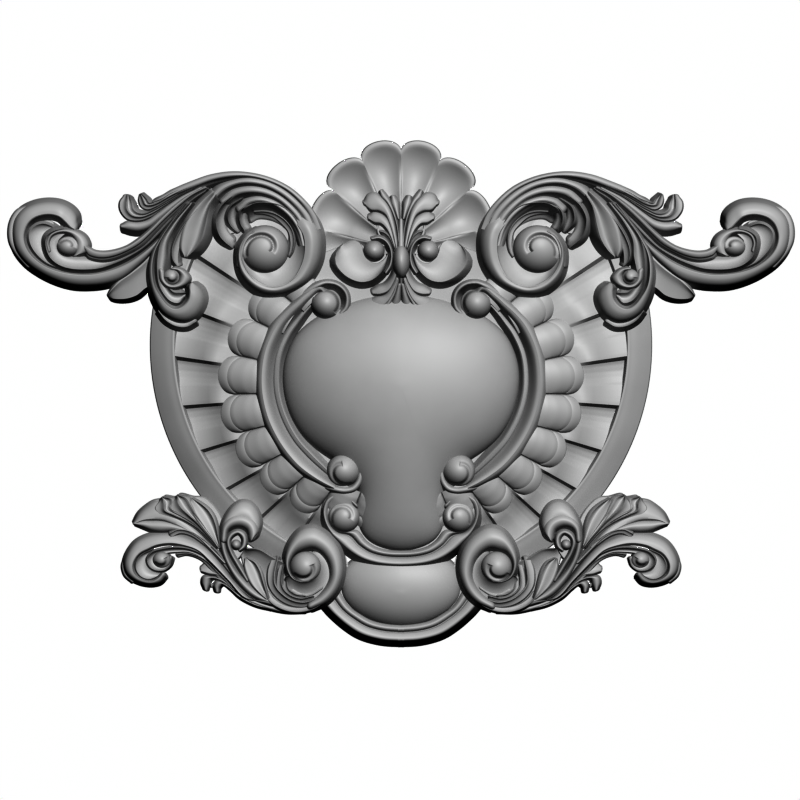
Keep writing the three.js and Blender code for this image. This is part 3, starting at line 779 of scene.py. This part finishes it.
# %% Carve the palmette
palmette_side = [
    stroke([(335, 264.5, 362, 247, 51, 42), (337.5, 269, 363, 252), (345, 276.5, 366, 257.5),
        (354, 281.3, 370, 261.5), (362, 282.8, 374, 263.5), (371, 281, 379, 263), (379, 275.3, 384, 259.5),
        (385, 267, 388, 254, 54, 46), (388.5, 257, 389.5, 249, 55, 48)], "dish", walls=(6, 0.5)),
    boss(374, 251, 10.6, 10.6, 64, 46),
    stroke([(371, 238, 373, 240.3, 57), (379, 236.3, 379, 239.5), (386.5, 239.7, 385, 242.5),
        (391.5, 247.3, 389, 249), (393, 257, 390.2, 257), (391.5, 266.5, 388.5, 265.2),
        (387, 274, 384.5, 272, 55)], "roll", walls=(1.5, 4), lift=5, base=42),
    stroke([(372, 289, 374, 294.5, 47), (377, 286, 380, 295), (384, 283.5, 388, 292), (390, 277, 394, 283),
        (394, 268, 397.5, 273, 57)], "shoulder"),
    stroke([(367.5, 306, 371.5, 311.5, 43), (370, 301, 379, 313), (376, 297, 384.5, 306.5),
        (384, 294.5, 390.5, 299), (390, 287, 395, 289.5), (395, 278, 398.5, 280, 56)], "shoulder"),
    stroke([(381.5, 313.5, 385, 314.6, 43), (382, 309, 388, 310), (386.5, 302, 391, 303.5),
        (392.5, 293, 395.5, 294), (396.5, 281, 399, 281, 55)], "roll", lift=5),
    stroke([(391.5, 309.5, 397, 310, 44), (391, 304, 400, 304), (393.8, 297, 400.7, 296),
        (397.3, 285, 401.5, 285, 56)], "roll", lift=6),
    stroke([(363.5, 201, 365.5, 205, 44), (367, 195.5, 370, 210.5), (375, 193.5, 379, 212),
        (383, 198.5, 386, 216.5), (389.5, 207, 390, 226), (394, 220, 393.5, 238),
        (397.5, 238, 396, 250, 57)], "shoulder"),
    stroke([(379.5, 192, 382, 190, 43), (381, 197, 386, 195), (386, 202.5, 390, 201),
        (392, 213, 394.5, 212), (396.5, 228, 398.3, 228), (398, 245, 400, 245, 55)], "roll", lift=4),
    stroke([(390.5, 197.5, 395.5, 196.5, 45), (390.5, 203, 398.5, 202), (393.5, 210, 399.3, 209.5),
        (397, 219, 400, 219, 51)], "roll", lift=6),
    stroke([(369, 214.5, 369.5, 220, 46), (373, 211.8, 374, 223.3), (380, 213, 381, 224.5),
        (386.5, 217.5, 386.5, 230), (391, 226, 391, 239), (394.5, 240, 395, 250, 57)], "shoulder"),
    stroke([(379.5, 231, 381, 234, 50), (384, 231.8, 386, 238), (389, 236, 390, 243),
        (393.5, 246, 394.5, 251, 57)], "ridge_first", lift=5),
    stroke([(376, 226, 379, 226, 42), (376.5, 233, 381, 233), (380, 240, 385, 239, 46)], "roll", lift=5),
]
palmette_middle = [
    boss(401, 262, 8.7, 17, 70, 50),
    stroke([(398.8, 220, 403.2, 220, 50), (398.2, 233, 403.8, 233),
        (397.5, 250, 404.5, 250, 58)], "roll", lift=5),
    stroke([(399, 278, 403, 278, 56), (399.5, 284, 402.5, 284),
        (400.2, 291, 401.8, 291, 48)], "roll", lift=5),
]
palmette = make_piece("palmette", both_sides(placed(palmette_side)) + placed(palmette_middle), resin)

# %% [markdown]
# ## The upper wings
#
# Each wing is a branch that sweeps out to a hook, with a scroll inside it, and arches back over the
# main volute in several strands. A second scroll hangs from the middle, and leaves fill the gaps.

# %% Carve the hooked end of the wing
wing_tip = [
    stroke([(204, 194, 206, 190, 50), (190, 203.5, 193, 198.5, 48), (176, 217, 179.5, 212),
        (162, 235, 167, 228), (150, 255, 156, 241, 42), (137, 268, 141, 253.5), (121, 280, 126, 263, 36),
        (106, 285, 110, 269.5, 34), (90, 287, 92, 273.5), (73, 286.5, 76, 273.5, 32), (56, 282, 60, 271),
        (38.5, 273.5, 45, 265.5, 30), (24, 262.5, 33, 256.5), (14.5, 249, 26.5, 247),
        (11.5, 233, 24.5, 236, 30), (14, 219, 28, 225.5), (22, 209, 34, 219.5), (34.5, 203, 42, 216.5, 33),
        (49, 201, 51, 216), (62, 203, 59, 218.5, 36), (71, 208, 64, 223), (76.5, 215, 69.5, 228.5),
        (77.5, 221, 73, 230, 34)], "shoulder", walls=(4, 4), lift=12),
    stroke([(30, 204, 36, 208, 20), (16, 210, 24, 214), (8.5, 223, 16, 225), (8, 240, 16, 239),
        (14, 253, 22, 250), (26, 267, 32, 262, 20)], "roll", walls=(1, 1), lift=3),
    stroke([(62, 269, 60, 264, 29, 23), (46, 263, 51, 257.5), (34, 252, 45.5, 249), (28.5, 241, 45, 240),
        (28.5, 232, 46.5, 236), (33.5, 226, 49, 233, 26, 19), (41.5, 223.3, 52.5, 231),
        (49, 225, 55.5, 230), (55.5, 229, 57.5, 230, 25, 19)], "dish", walls=(5, 3)),
    stroke([(208, 189, 206, 186.5, 50), (196, 198, 193.5, 194.5), (183, 209, 180, 205.5),
        (170, 222, 166.5, 218), (158, 235, 154.5, 230.5), (145, 247, 142, 243, 40),
        (130, 256.5, 127, 252.5), (115, 263.5, 112, 258.5, 38), (100, 268.5, 99, 260), (85, 270, 86, 257),
        (70, 269, 74, 256.5, 38), (58, 265, 65, 254.5), (49, 257, 59.5, 250), (45, 246, 57.5, 245),
        (46, 236.5, 58, 240.5), (53, 231, 60.5, 237.5),
        (62, 228.8, 65, 233.5, 39)], "dish", walls=(4, 2), lift=11),
    stroke([(47, 252, 51, 250, 36), (45.5, 243, 49.5, 243.5), (49, 234.5, 52, 237), (57, 230, 58.5, 233.5),
        (67, 228.7, 66.5, 233.5), (77, 230.7, 72, 237), (85.5, 236.5, 75.5, 243.5), (89, 245, 75, 249, 41),
        (86, 252.5, 74, 253.5), (80, 255, 73, 255.5, 40)], "roll", walls=(2, 4), lift=8),
    eye(68, 246.5, 11.5, 10.2, 46, 32, leaves=160, turns=-170, depth=7, spread=(0.85, 0.45), sides=72,
        levels=26),
    stroke([(84.5, 245.5, 84.5, 251, 41), (89, 248, 88, 256.5), (95, 251, 95, 259), (104, 252, 104, 259.7),
        (115, 250.5, 115, 257.5), (127, 246.5, 128, 252), (138, 239.5, 141, 244.5), (150, 229.5, 154, 232),
        (162, 217.5, 166, 220), (175, 205.5, 179, 208), (190, 194.5, 193, 196.5),
        (205, 187, 207, 189, 51)], "flat_lip", walls=(1.5, 3), lift=7),
    stroke([(151, 250, 151, 285, 32), (141, 260.5, 144.5, 288.5), (130, 269, 136.5, 295),
        (120, 276.5, 127, 298.3), (113.5, 284, 118, 299), (109, 290.5, 112, 298.3),
        (107, 294.5, 108.5, 297, 23)], "ridge_first", walls=(1, 5), lift=8),
]
print("the hooked end has", len(wing_tip), "solids")

# %% Carve the leaf lobes, the arching strands and the claws
wing_arch = [
    stroke([(121.5, 224, 121.5, 229, 35), (127, 221.5, 130, 231.5), (136, 222, 139, 232),
        (146, 220, 149, 228.5), (156, 213.5, 160, 220), (168, 204.5, 172, 210), (182, 195.5, 186, 199),
        (200, 187, 202, 189.5, 51)], "roll", walls=(1, 4), lift=7),
    stroke([(124, 196, 130.5, 197.5, 37), (120, 202, 134, 204), (120.5, 210.5, 135.5, 209),
        (127, 218.5, 139.5, 212), (138, 220.5, 146.5, 212.5), (150, 217, 156, 208),
        (163, 208.5, 168, 201.5), (178, 198, 181, 194),
        (195, 189, 197, 186, 52)], "leaf", walls=(1.5, 3), lift=8),
    stroke([(139.8, 194.5, 141.5, 193.5, 40), (139, 200, 147.5, 198.5), (141.5, 206.5, 151, 202.5),
        (147.5, 209.3, 157, 200), (156, 206.5, 163, 197.5), (170, 198.5, 172.5, 192),
        (186, 190, 188, 185.8), (204, 184, 204, 180, 53)], "leaf", walls=(1.5, 3), lift=8),
    stroke([(153, 201.5, 157, 206, 42, 34), (163, 195.5, 167, 202), (176, 188.5, 181, 196.5),
        (190, 182.7, 195, 191), (210, 175.7, 214, 184), (230, 172.6, 231, 180.3, 58, 50),
        (250, 173.6, 249.5, 179.3), (270, 178.5, 267.5, 183.5), (289, 187.7, 284.5, 191.5),
        (304, 200.5, 298.5, 203.5, 61, 57), (315, 214.5, 308, 217),
        (321, 229, 314, 231, 55, 54)], "strand", walls=(1, 3), ends="start"),
    stroke([(206.5, 204, 212.5, 208.5, 48, 34), (211, 195, 219.5, 201.5), (220, 186, 230, 193),
        (235, 180, 240, 188.5), (250, 178.5, 251, 187.8, 58, 48), (268, 182, 264, 190),
        (283, 189.5, 278, 196.5), (297, 201, 291, 206.5, 60, 55), (308, 214, 301, 218),
        (315, 229, 308, 231, 58, 56)], "strand", walls=(3, 3), ends="start"),
    stroke([(221, 199.5, 229.5, 206.5, 46, 34), (232, 190.5, 240.5, 199.5),
        (250, 186.7, 252, 197.5, 55, 44), (265, 188.7, 263, 198.3), (279, 195, 276, 203),
        (292, 205.5, 287, 211.5, 58, 52), (302, 218, 296, 221.5),
        (309, 234, 302, 235, 58, 56)], "strand", walls=(3, 3), ends="start"),
    stroke([(237, 206, 246, 214.5, 44, 30), (245.5, 199.5, 252, 208), (258, 196.6, 261, 206, 52, 40),
        (272, 199.5, 270, 207.5), (284, 206.5, 279.5, 213), (294.5, 217, 288.5, 221, 57, 48),
        (301.5, 230, 296, 232), (305, 246, 301, 246, 58, 56)], "strand", walls=(3, 3), ends="start"),
    slab([(28, 232), (40, 221), (51, 221), (54, 231), (72, 234), (90, 258), (140, 250), (180, 205),
        (206, 184), (216, 200), (180, 246), (168, 300), (150, 270), (120, 276), (70, 281), (38, 265)], 16),
    slab([(206, 200), (222, 184), (250, 177), (282, 186), (305, 206), (318, 232), (300, 240), (284, 218),
        (262, 206), (246, 212), (236, 232), (214, 232), (206, 216)], 28),
    stroke([(228, 197.5, 236, 198.5, 53), (219, 204, 229, 207.5), (212, 216, 224.5, 218.5),
        (211.5, 227, 226, 229), (215, 238, 230, 235), (221, 244.5, 233.5, 239),
        (228.5, 248.5, 234, 243, 45)], "claw", walls=(1, 3), lift=16),
    stroke([(240, 198, 244.5, 200.5, 52), (228.5, 206, 235, 208.5), (224.5, 216, 234, 218),
        (225.5, 223, 236, 224), (231, 229, 238, 229.5),
        (236, 232.5, 239, 231.5, 46)], "claw", walls=(1, 2.5), lift=15),
    stroke([(250, 203.5, 254, 206.5, 52), (239.5, 209, 246.5, 211.5), (236.5, 217, 245, 218.5),
        (237.5, 225, 247, 224.5), (241, 230.5, 249, 228.5),
        (243.5, 233, 247, 231, 46)], "claw", walls=(1, 2.5), lift=15),
]
wings = make_piece("acanthus_wings", both_sides(placed(wing_tip + wing_arch)), resin)

# %% [markdown]
# ## The volutes of the wings
#
# The main volute rolls in under the strands to a round eye: a swelling roll outside, a cove within it,
# and the dome of the eye lapping over both. The scroll that hangs beside it is built in the same order.

# %% Carve the main volute
volute = [
    stroke([(299, 202, 284, 212, 44), (308, 210, 292, 219, 54), (316.5, 220, 299, 227, 61),
        (321.5, 232, 304, 237, 63), (323, 247, 305, 250, 63), (320, 264, 302, 264, 62),
        (310, 280.5, 294, 278), (296.5, 290.5, 284, 284), (280, 296.5, 272, 286.5, 60),
        (263, 296, 260, 282.5), (249, 288, 250, 274.5), (239.5, 276, 243.5, 264), (236, 260, 241.5, 252),
        (237.5, 247, 244, 243), (243.5, 237, 249, 236.5),
        (252, 230, 256, 232.5, 62)], "swelling", walls=(3, 0.5), lift=18),
    stroke([(246, 208, 251, 222, 56, 20), (255, 203.5, 258, 218.5, 57, 18), (268, 203, 270, 219.5, 58, 18),
        (281, 206, 280.5, 224.5, 58, 18), (292, 214, 287, 234, 58, 22), (300, 227, 288, 243, 59, 32),
        (305.5, 243, 287.5, 252, 61, 42), (305, 259, 285, 261, 61, 47),
        (298.5, 274, 279.5, 267.5, 60.5, 50), (286, 284.5, 271.5, 271.5, 60, 52),
        (272, 287.5, 262.5, 272.5, 59.5, 52), (258, 283, 254, 269.5, 59.5, 52),
        (247.5, 272, 249, 264, 60, 54), (241.5, 258, 246.5, 256, 60, 55),
        (242.5, 247, 248.5, 248, 60, 55)], "cove", walls=(0.5, 0.8)),
    stroke([(254, 211.5, 255, 213.5, 42), (265, 211, 264, 214), (276, 213.5, 273.5, 217),
        (286, 220, 282, 224, 46), (293, 230, 288.5, 232), (295, 242, 290.5, 242, 54),
        (293, 252, 290, 250.5), (289.5, 257.5, 288.5, 256, 56)], "ridge_first", walls=(1, 1), lift=7),
    stroke([(235.5, 266, 243, 266, 58), (236, 255, 243.5, 254, 60), (239.5, 243, 246, 244),
        (246, 233.5, 251, 237, 62), (256, 227.5, 258, 233, 60)], "shoulder", walls=(1.5, 3), lift=10),
    eye(264.5, 249.5, 24.3, 23.8, 71, 50, leaves=205, turns=-230, depth=9, spread=(0.8, 0.29), levels=44),
]
print("the main volute has", len(volute), "solids")

# %% Carve the hanging scroll and its leaves
drop_scroll = [
    stroke([(183, 206, 186, 204, 54), (171, 221, 175, 219), (159, 238, 163, 237),
        (150.5, 254, 155, 254, 48), (147.5, 270, 153, 270.5), (149, 286, 155, 285), (154, 302, 161, 296),
        (162, 314.5, 168.5, 305, 46), (174, 321.5, 175.5, 308), (186, 322.5, 182.5, 305),
        (196.5, 317, 187.5, 298.5), (203, 307, 188.5, 291, 50), (205, 297, 188, 287),
        (201.5, 288, 189, 284), (195.5, 283.5, 191, 282.7, 50)], "shoulder", walls=(3.5, 4), lift=15),
    stroke([(158, 312, 162, 309, 34), (165, 321, 169, 317), (176, 327, 178, 322), (187, 327.5, 186, 322),
        (196, 322.5, 192, 318, 36)], "ridge_first", walls=(4, 1), lift=6),
    stroke([(188, 205, 193.5, 203, 53), (172, 223.5, 179, 222), (161, 240, 170, 240),
        (157, 256, 169, 256, 46), (156.5, 270, 166.5, 268), (158, 283, 164, 278),
        (163, 294, 168.5, 286, 42), (170.5, 302, 174, 291.5), (179, 303.5, 181, 292),
        (184, 298, 184, 292.5, 42)], "gutter", walls=(4, 4), lift=7),
    stroke([(158, 270, 165, 272, 46), (160, 281, 166.5, 280.5), (167, 288, 170.5, 284),
        (177, 289, 175, 284), (186.5, 285, 178.5, 281), (190.5, 278, 179, 275), (184.5, 270, 175.5, 271),
        (176, 267, 171, 270.5, 48)], "roll", walls=(1, 1), lift=8),
    eye(171.5, 277, 8.5, 8, 51, 40, leaves=60, turns=-230, depth=4, spread=(0.85, 0.55), sides=72,
        levels=26),
    stroke([(212, 192, 216, 197, 55), (203, 200, 211, 206), (193, 211, 208.5, 216),
        (185.5, 224, 206.5, 227), (181.5, 238, 202.5, 240), (181, 250, 195, 251),
        (184, 256.5, 188.5, 256.5, 48)], "spoon", walls=(4, 8), lift=8),
    stroke([(197, 209, 200, 211, 52), (185, 222, 189, 226), (175.5, 237, 181.5, 240),
        (171, 250, 178.5, 252), (172, 260, 178, 261),
        (176, 265.5, 179, 266, 46)], "ridge_first", walls=(3, 4), lift=9),
]
volutes = make_piece("wing_volutes", both_sides(placed(volute + drop_scroll)), resin)

# %% [markdown]
# ## The lower sprays
#
# Each spray rolls out of a big volute beside the bowl and runs out to a hooked leaf. A bud scroll stands
# up from it, and small leaves fan out above and below.

# %% Carve the hooked leaf of the spray
spray_hook = [
    stroke([(290, 611, 289, 608, 38), (268, 606, 270, 601.5), (250, 598, 245, 598),
        (232, 578.5, 227.5, 580), (216, 558, 210, 562.5, 37), (203, 545.5, 197, 551),
        (190, 538.5, 184, 546.5), (176, 534, 170, 544.5, 34), (160, 533.5, 156, 546.5),
        (146.5, 536, 147.5, 550.5), (135, 542, 140, 554.5, 32), (127, 552.5, 135, 560.5),
        (123.5, 563, 133, 567), (125, 572.5, 134.5, 573.5), (131, 579.5, 139, 578),
        (140.5, 584, 146, 581, 32), (151, 585.5, 152.5, 581), (160, 583.5, 158, 577.5),
        (165.5, 577.5, 162, 573, 33)], "shoulder", walls=(2.5, 1.2), lift=10),
    stroke([(123, 559, 128, 560, 20), (121, 567, 126, 568), (123.5, 576, 128, 573),
        (131, 583, 134, 579, 20)], "roll", walls=(1, 1), lift=3),
    stroke([(152, 549.5, 153, 553, 28, 23), (141, 555, 147, 557), (136, 562, 145.5, 562),
        (135.5, 569.5, 147, 567), (140, 576.5, 151, 571.5), (148, 579.5, 157, 573.5), (156, 577, 163, 574),
        (161, 572.5, 166.5, 571.5, 28, 23)], "dish", walls=(1, 1)),
    stroke([(169.5, 532.5, 171.5, 537, 35), (178, 529, 179.5, 533.3), (190, 531, 189.5, 535),
        (203, 538.5, 200.5, 541.7), (216, 550, 213.5, 552.7), (229, 566, 226.5, 568.3),
        (242, 582, 239.5, 584.5), (256, 595, 254, 598, 38)], "ridge_first", lift=5),
    stroke([(250, 597, 248, 599.5, 34), (238, 587, 236, 589.5), (222, 570.5, 219.5, 573),
        (205, 556, 203, 558.5), (190, 549.3, 189, 552.3), (176, 547.5, 177, 552, 34),
        (162, 549, 164, 553.5), (152, 552.3, 157, 556.5), (146.7, 559, 154.5, 561),
        (148.5, 566, 157, 565.3), (155, 570.5, 161, 567.5), (164, 570.7, 165, 566.5),
        (170.5, 566, 168, 562), (173, 559, 168.5, 557.5, 37)], "dish", lift=8),
    stroke([(252, 601, 250, 603.5, 30), (236, 590, 233.5, 592), (220, 574, 217.5, 577),
        (204, 559, 201, 560.3), (188, 553.3, 187, 555.3),
        (176, 554, 178, 557, 28)], "ridge_first", walls=(1, 1), lift=5),
    eye(161.5, 560, 9, 8, 41, 30, leaves=200, turns=190, depth=5, spread=(0.85, 0.5), sides=72, levels=26),
]
print("the hooked leaf has", len(spray_hook), "solids")

# %% Carve the leaves above and below it
spray_leaves = [
    stroke([(133.5, 523, 134.5, 525, 25), (141, 520.5, 143, 528.5), (149.5, 520.5, 151, 531.5),
        (159, 520.5, 161, 532.7), (171, 522.5, 173, 532), (185, 528, 186, 533), (198, 535.5, 197, 538),
        (211, 547, 208.5, 549), (226, 562, 223, 564, 39)], "roll", walls=(1, 1.8), lift=8),
    stroke([(132.5, 522, 133.5, 524.5, 24), (137, 513.5, 143, 521.5), (145, 506, 153, 521),
        (155, 500.5, 163, 522), (166, 503, 174, 526), (183, 515, 187, 532), (198, 530, 199, 538),
        (212, 545, 210, 548, 36)], "shoulder", walls=(1.5, 2), lift=13),
    stroke([(161, 499.5, 163.5, 497, 31), (155.5, 507, 174, 498.5), (158, 512.5, 173, 508),
        (168, 517, 181, 513), (182, 522, 192, 520), (198, 531, 204, 530),
        (214, 547, 217, 545, 38)], "leaf", walls=(3, 1.5), lift=9),
    stroke([(176, 498.5, 178.5, 495, 34), (169.5, 505.5, 188, 497), (172, 511, 193, 504),
        (181, 516, 197, 513), (193, 523.5, 203, 523), (206, 536.5, 211, 535),
        (217, 548, 219, 546, 41)], "leaf", walls=(3, 1.5), lift=9),
    stroke([(190.7, 499, 192.5, 498.7, 32), (190.3, 505, 200, 502.8), (192, 512, 208, 508.8),
        (196.5, 520, 213.5, 516.3), (203.5, 529.5, 216.8, 526), (211.5, 539, 218.3, 537),
        (218, 548, 220, 547.5, 41)], "spoon", walls=(1, 2), lift=7),
    slab([(142, 512), (148, 504), (155, 500), (163, 498.5), (166, 496), (176, 497.5), (180, 494.5),
        (192, 497), (204, 498), (222, 520), (222, 552), (196, 532), (168, 520), (150, 516)], 17),
    stroke([(201, 567, 202.3, 572.5, 24), (206, 563, 209, 575.3), (215, 566, 218, 576.5),
        (226, 574, 228, 582), (238, 584, 240, 590.5), (254, 596, 254, 600, 32)], "ridge_last", lift=6),
    stroke([(203.3, 589, 207.5, 590.7, 23), (201.3, 583, 209.3, 585.5), (203.3, 577, 211.5, 580),
        (212, 576.7, 217, 579.7), (223, 580, 225, 584), (236, 590, 237, 594),
        (252, 601, 252, 604, 30)], "roll", lift=6),
    stroke([(214.5, 591.5, 219, 592.3, 22), (213.5, 586, 220, 588), (216.3, 581.7, 223.5, 585.5),
        (225, 584, 230, 590), (238, 594, 240, 599), (254, 603, 255, 606.5),
        (270, 607, 271, 610.5, 30)], "roll", lift=6),
    stroke([(210, 584, 212.8, 584.5, 21), (209.8, 586, 212.7, 586.3),
        (210.5, 587.3, 212.3, 587.5, 20)], "roll", lift=3),
]
sprays = make_piece("lower_sprays", both_sides(placed(spray_hook + spray_leaves)), resin)

# %% Carve the bud scroll and the big lower volute
spray_scrolls = [
    stroke([(270, 605, 273, 600.5, 38), (251, 597.5, 257.5, 591), (236, 582.5, 243.5, 578),
        (225, 563.5, 233, 565), (220, 548, 227, 550, 43), (219.3, 534, 226, 537), (223, 519.5, 229.5, 529),
        (231, 507, 235, 527.5, 44), (241, 500.8, 241, 528), (251.5, 503, 246, 531),
        (259, 512.5, 247.5, 535), (261.3, 524, 248, 538),
        (258.5, 534.5, 248.5, 540, 45)], "roll", walls=(1.5, 1), lift=12),
    stroke([(219.7, 540, 227, 541, 46), (222, 525, 228.5, 532), (229, 516.5, 233, 528.5),
        (239.5, 513, 240, 528), (249.5, 515.5, 246, 531), (256.5, 521.5, 247.5, 535),
        (259, 531, 248, 538.5), (254, 538.5, 249.5, 541, 50)], "roll", walls=(1, 1.5), lift=12),
    stroke([(246, 582, 248.5, 579, 38), (236, 566, 240, 564), (229, 553, 232.5, 551),
        (226, 542, 230.5, 541.5, 46), (230, 533, 233, 537), (238, 529.7, 238, 534.5),
        (245, 533, 241.3, 538), (247.3, 540, 242, 541.3), (245.5, 547.5, 241, 546),
        (240, 551.5, 238.5, 549.5, 47)], "roll", walls=(1, 1), lift=7),
    boss(236, 545, 5, 5.2, 50, 40, sides=24),
    stroke([(247.5, 549, 241, 556, 33, 20), (259, 550, 246, 574), (272, 557.5, 256, 592),
        (286, 564, 276, 602, 40, 26)], "cove", walls=(1, 1)),
    slab([(226, 528), (243, 530), (244.5, 540), (244, 550), (236, 560), (228, 548)], 30),
    stroke([(245, 559, 247.5, 558.5, 38), (244.3, 566, 255, 562), (247, 576, 260.5, 570),
        (251.7, 585, 263.5, 580), (258.5, 592.5, 266, 590),
        (266, 599, 268.5, 598, 42)], "spoon", walls=(1, 1.5), lift=7),
    stroke([(271.5, 560, 279, 558, 41), (268, 572, 276, 572), (269, 586, 276, 584),
        (277, 597.5, 282.5, 592.7), (290, 605, 293, 599.5), (304, 606.7, 305, 601.5),
        (318, 602.7, 316, 598, 48)], "ridge_last", lift=8),
    stroke([(281.5, 560, 285, 563, 41), (277.5, 576, 282.5, 577), (278, 588.5, 283.5, 587),
        (286.5, 598, 290, 594), (299, 602, 301, 597.7),
        (313, 599.5, 312.5, 595.3, 49)], "ridge_last", lift=8),
    stroke([(284, 577, 287, 578, 42), (284, 589, 289, 588), (292, 597, 295, 593),
        (304, 599, 305, 595, 48)], "ridge_last", lift=7),
    stroke([(264, 591.5, 269, 592.5, 39), (268.5, 601.5, 273.5, 598.5), (281.5, 610, 284, 605.3),
        (297, 613, 298, 608), (312, 610.3, 311, 605.7),
        (326, 602.5, 322.5, 598, 48)], "ridge_first", walls=(1.5, 1), lift=8),
    stroke([(240, 598.5, 242, 595, 28), (262, 608, 263, 603), (285, 613.5, 286, 608),
        (305, 613.5, 304, 608, 34)], "roll", walls=(1, 1), lift=5),
    stroke([(312, 610.5, 309, 601, 50), (326, 604, 318, 595), (337, 592.5, 325.5, 586),
        (343, 577, 329.5, 575.5, 54), (343.5, 562, 327.5, 563), (338.5, 546.5, 320.5, 553.5),
        (328.5, 534.5, 312, 549.3), (315, 526.7, 304.5, 550.3, 56), (301, 529, 296, 554),
        (290.5, 540, 291, 561), (285, 553, 289.5, 568, 54), (284.5, 566, 292, 575), (289, 577, 297, 579.7),
        (298.5, 582.3, 303.5, 581.2), (308, 582, 310, 580, 54)], "roll", walls=(2.5, 4), lift=14),
    slab([(290, 560), (300, 551), (315, 553), (327, 568), (327, 584), (316, 596), (298, 598),
        (288, 584)], 36),
    stroke([(312, 556, 321, 552, 50, 40), (318, 562, 328, 563), (318.5, 570, 330, 575.5),
        (314.5, 578, 326, 587, 52, 41), (307.5, 581.5, 316.5, 597), (300, 581, 303, 600, 51, 40),
        (292, 576, 289, 594, 50, 40)], "cove", walls=(0.5, 0.5)),
    stroke([(322, 590, 318, 582, 44), (312, 596, 309, 588), (302, 597.5, 301, 590),
        (292, 593, 294, 587, 46)], "ridge_first", walls=(2, 2), lift=8),
    eye(305.5, 567, 15.5, 15.5, 63, 46, leaves=-150, turns=170, depth=7, spread=(0.85, 0.4)),
    slab([(332, 548), (345, 556), (352, 580), (401, 600), (401, 640), (370, 632), (345, 618),
        (326, 600)], 14),
]
scrolls = make_piece("spray_scrolls", both_sides(placed(spray_scrolls)), resin)

# %% [markdown]
# ## Standing in for the solid
#
# All these pieces are one casting. Together they stand for the plain solid, ride on the same body and
# take its finish.

# %% Put the pieces on the body
pieces = (plate, tongues, field, shell, frames, palmette, wings, volutes, sprays, scrolls)
for piece in pieces:
    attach(piece, "root")
    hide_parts("cartouche_onlay")
print(len(pieces), "pieces ride on root")

# %% [markdown]
# ## The studio
#
# The onlay is seen straight from the front through a very long lens, so its outline is nearly that of a
# drawing. The key light stands beside the camera, a little to the right and above, and casts no shadow,
# so each slope shows by its tone alone. A weaker light behind shows the flat back in other views. The
# studio is white all round to the camera and nearly dark to the onlay, and a pale floor lies below.

# %% Camera and lights
SENSOR = 36
CAMERA_FAR = 10.0
VIEW_WIDE = 0.6
MIDDLE_DEPTH = 0.03
SUN_SOFT = math.radians(6)


def make_camera():
    data = bpy.data.cameras.new("front_camera")
    data.sensor_width = SENSOR
    data.lens = SENSOR * CAMERA_FAR / VIEW_WIDE
    data.clip_end = 6 * CAMERA_FAR
    camera = bpy.data.objects.new("front_camera", data)
    camera.location = (-SQUARE, -(CAMERA_FAR + MIDDLE_DEPTH), 0)
    camera.rotation_euler = (math.pi / 2, 0, 0)
    bpy.context.scene.collection.objects.link(camera)
    bpy.context.scene.camera = camera


def make_sun(name, towards, strength, shadow):
    data = bpy.data.lights.new(name, "SUN")
    data.energy = strength
    data.angle = SUN_SOFT
    data.use_shadow = shadow
    sun = bpy.data.objects.new(name, data)
    sun.rotation_euler = Vector(towards).to_track_quat("Z", "Y").to_euler()
    bpy.context.scene.collection.objects.link(sun)


make_camera()
make_sun("key_light", (0.20, -0.874, 0.444), 9.0, False)
make_sun("back_light", (0, 1, 0), 3.0, True)
bpy.context.scene.view_settings.view_transform = "Standard"
bpy.context.scene.view_settings.gamma = 0.46
print("the lens is", round(bpy.context.scene.camera.data.lens), "mm long")

# %% The white world and the floor
FLOOR_LEVEL = -0.6
AMBIENT = 0.01


def make_world():
    world = bpy.data.worlds.new("white_studio")
    tree = empty_tree(world)
    ray = add_node(tree, "ShaderNodeLightPath")
    glow = add_node(tree, "ShaderNodeMapRange", {}, {
        "Value": ray.outputs["Is Camera Ray"], "To Min": AMBIENT, "To Max": 1.0})
    sky = add_node(tree, "ShaderNodeBackground", {}, {
        "Color": from_hex("#ffffff"), "Strength": glow.outputs["Result"]})
    add_node(tree, "ShaderNodeOutputWorld", {}, {"Surface": sky.outputs[0]})
    bpy.context.scene.world = world


def make_floor():
    board = bpy.data.materials.new("painted_board")
    tree = empty_tree(board)
    paint = {"Base Color": from_hex("#ececec"), "Roughness": 0.8}
    shader = add_node(tree, "ShaderNodeBsdfPrincipled", {}, paint)
    add_node(tree, "ShaderNodeOutputMaterial", {}, {"Surface": shader.outputs[0]})
    mesh = bpy.data.meshes.new("floor")
    corners = [(x, y, FLOOR_LEVEL) for x, y in ((-4, -3), (4, -3), (4, 3), (-4, 3))]
    mesh.from_pydata(corners, [], [[0, 1, 2, 3]])
    mesh.materials.append(board)
    made = bpy.data.objects.new("floor", mesh)
    bpy.context.scene.collection.objects.link(made)
    made.visible_diffuse = False
    made.visible_glossy = False
    print("the floor lies at", FLOOR_LEVEL, "m")


make_world()
make_floor()
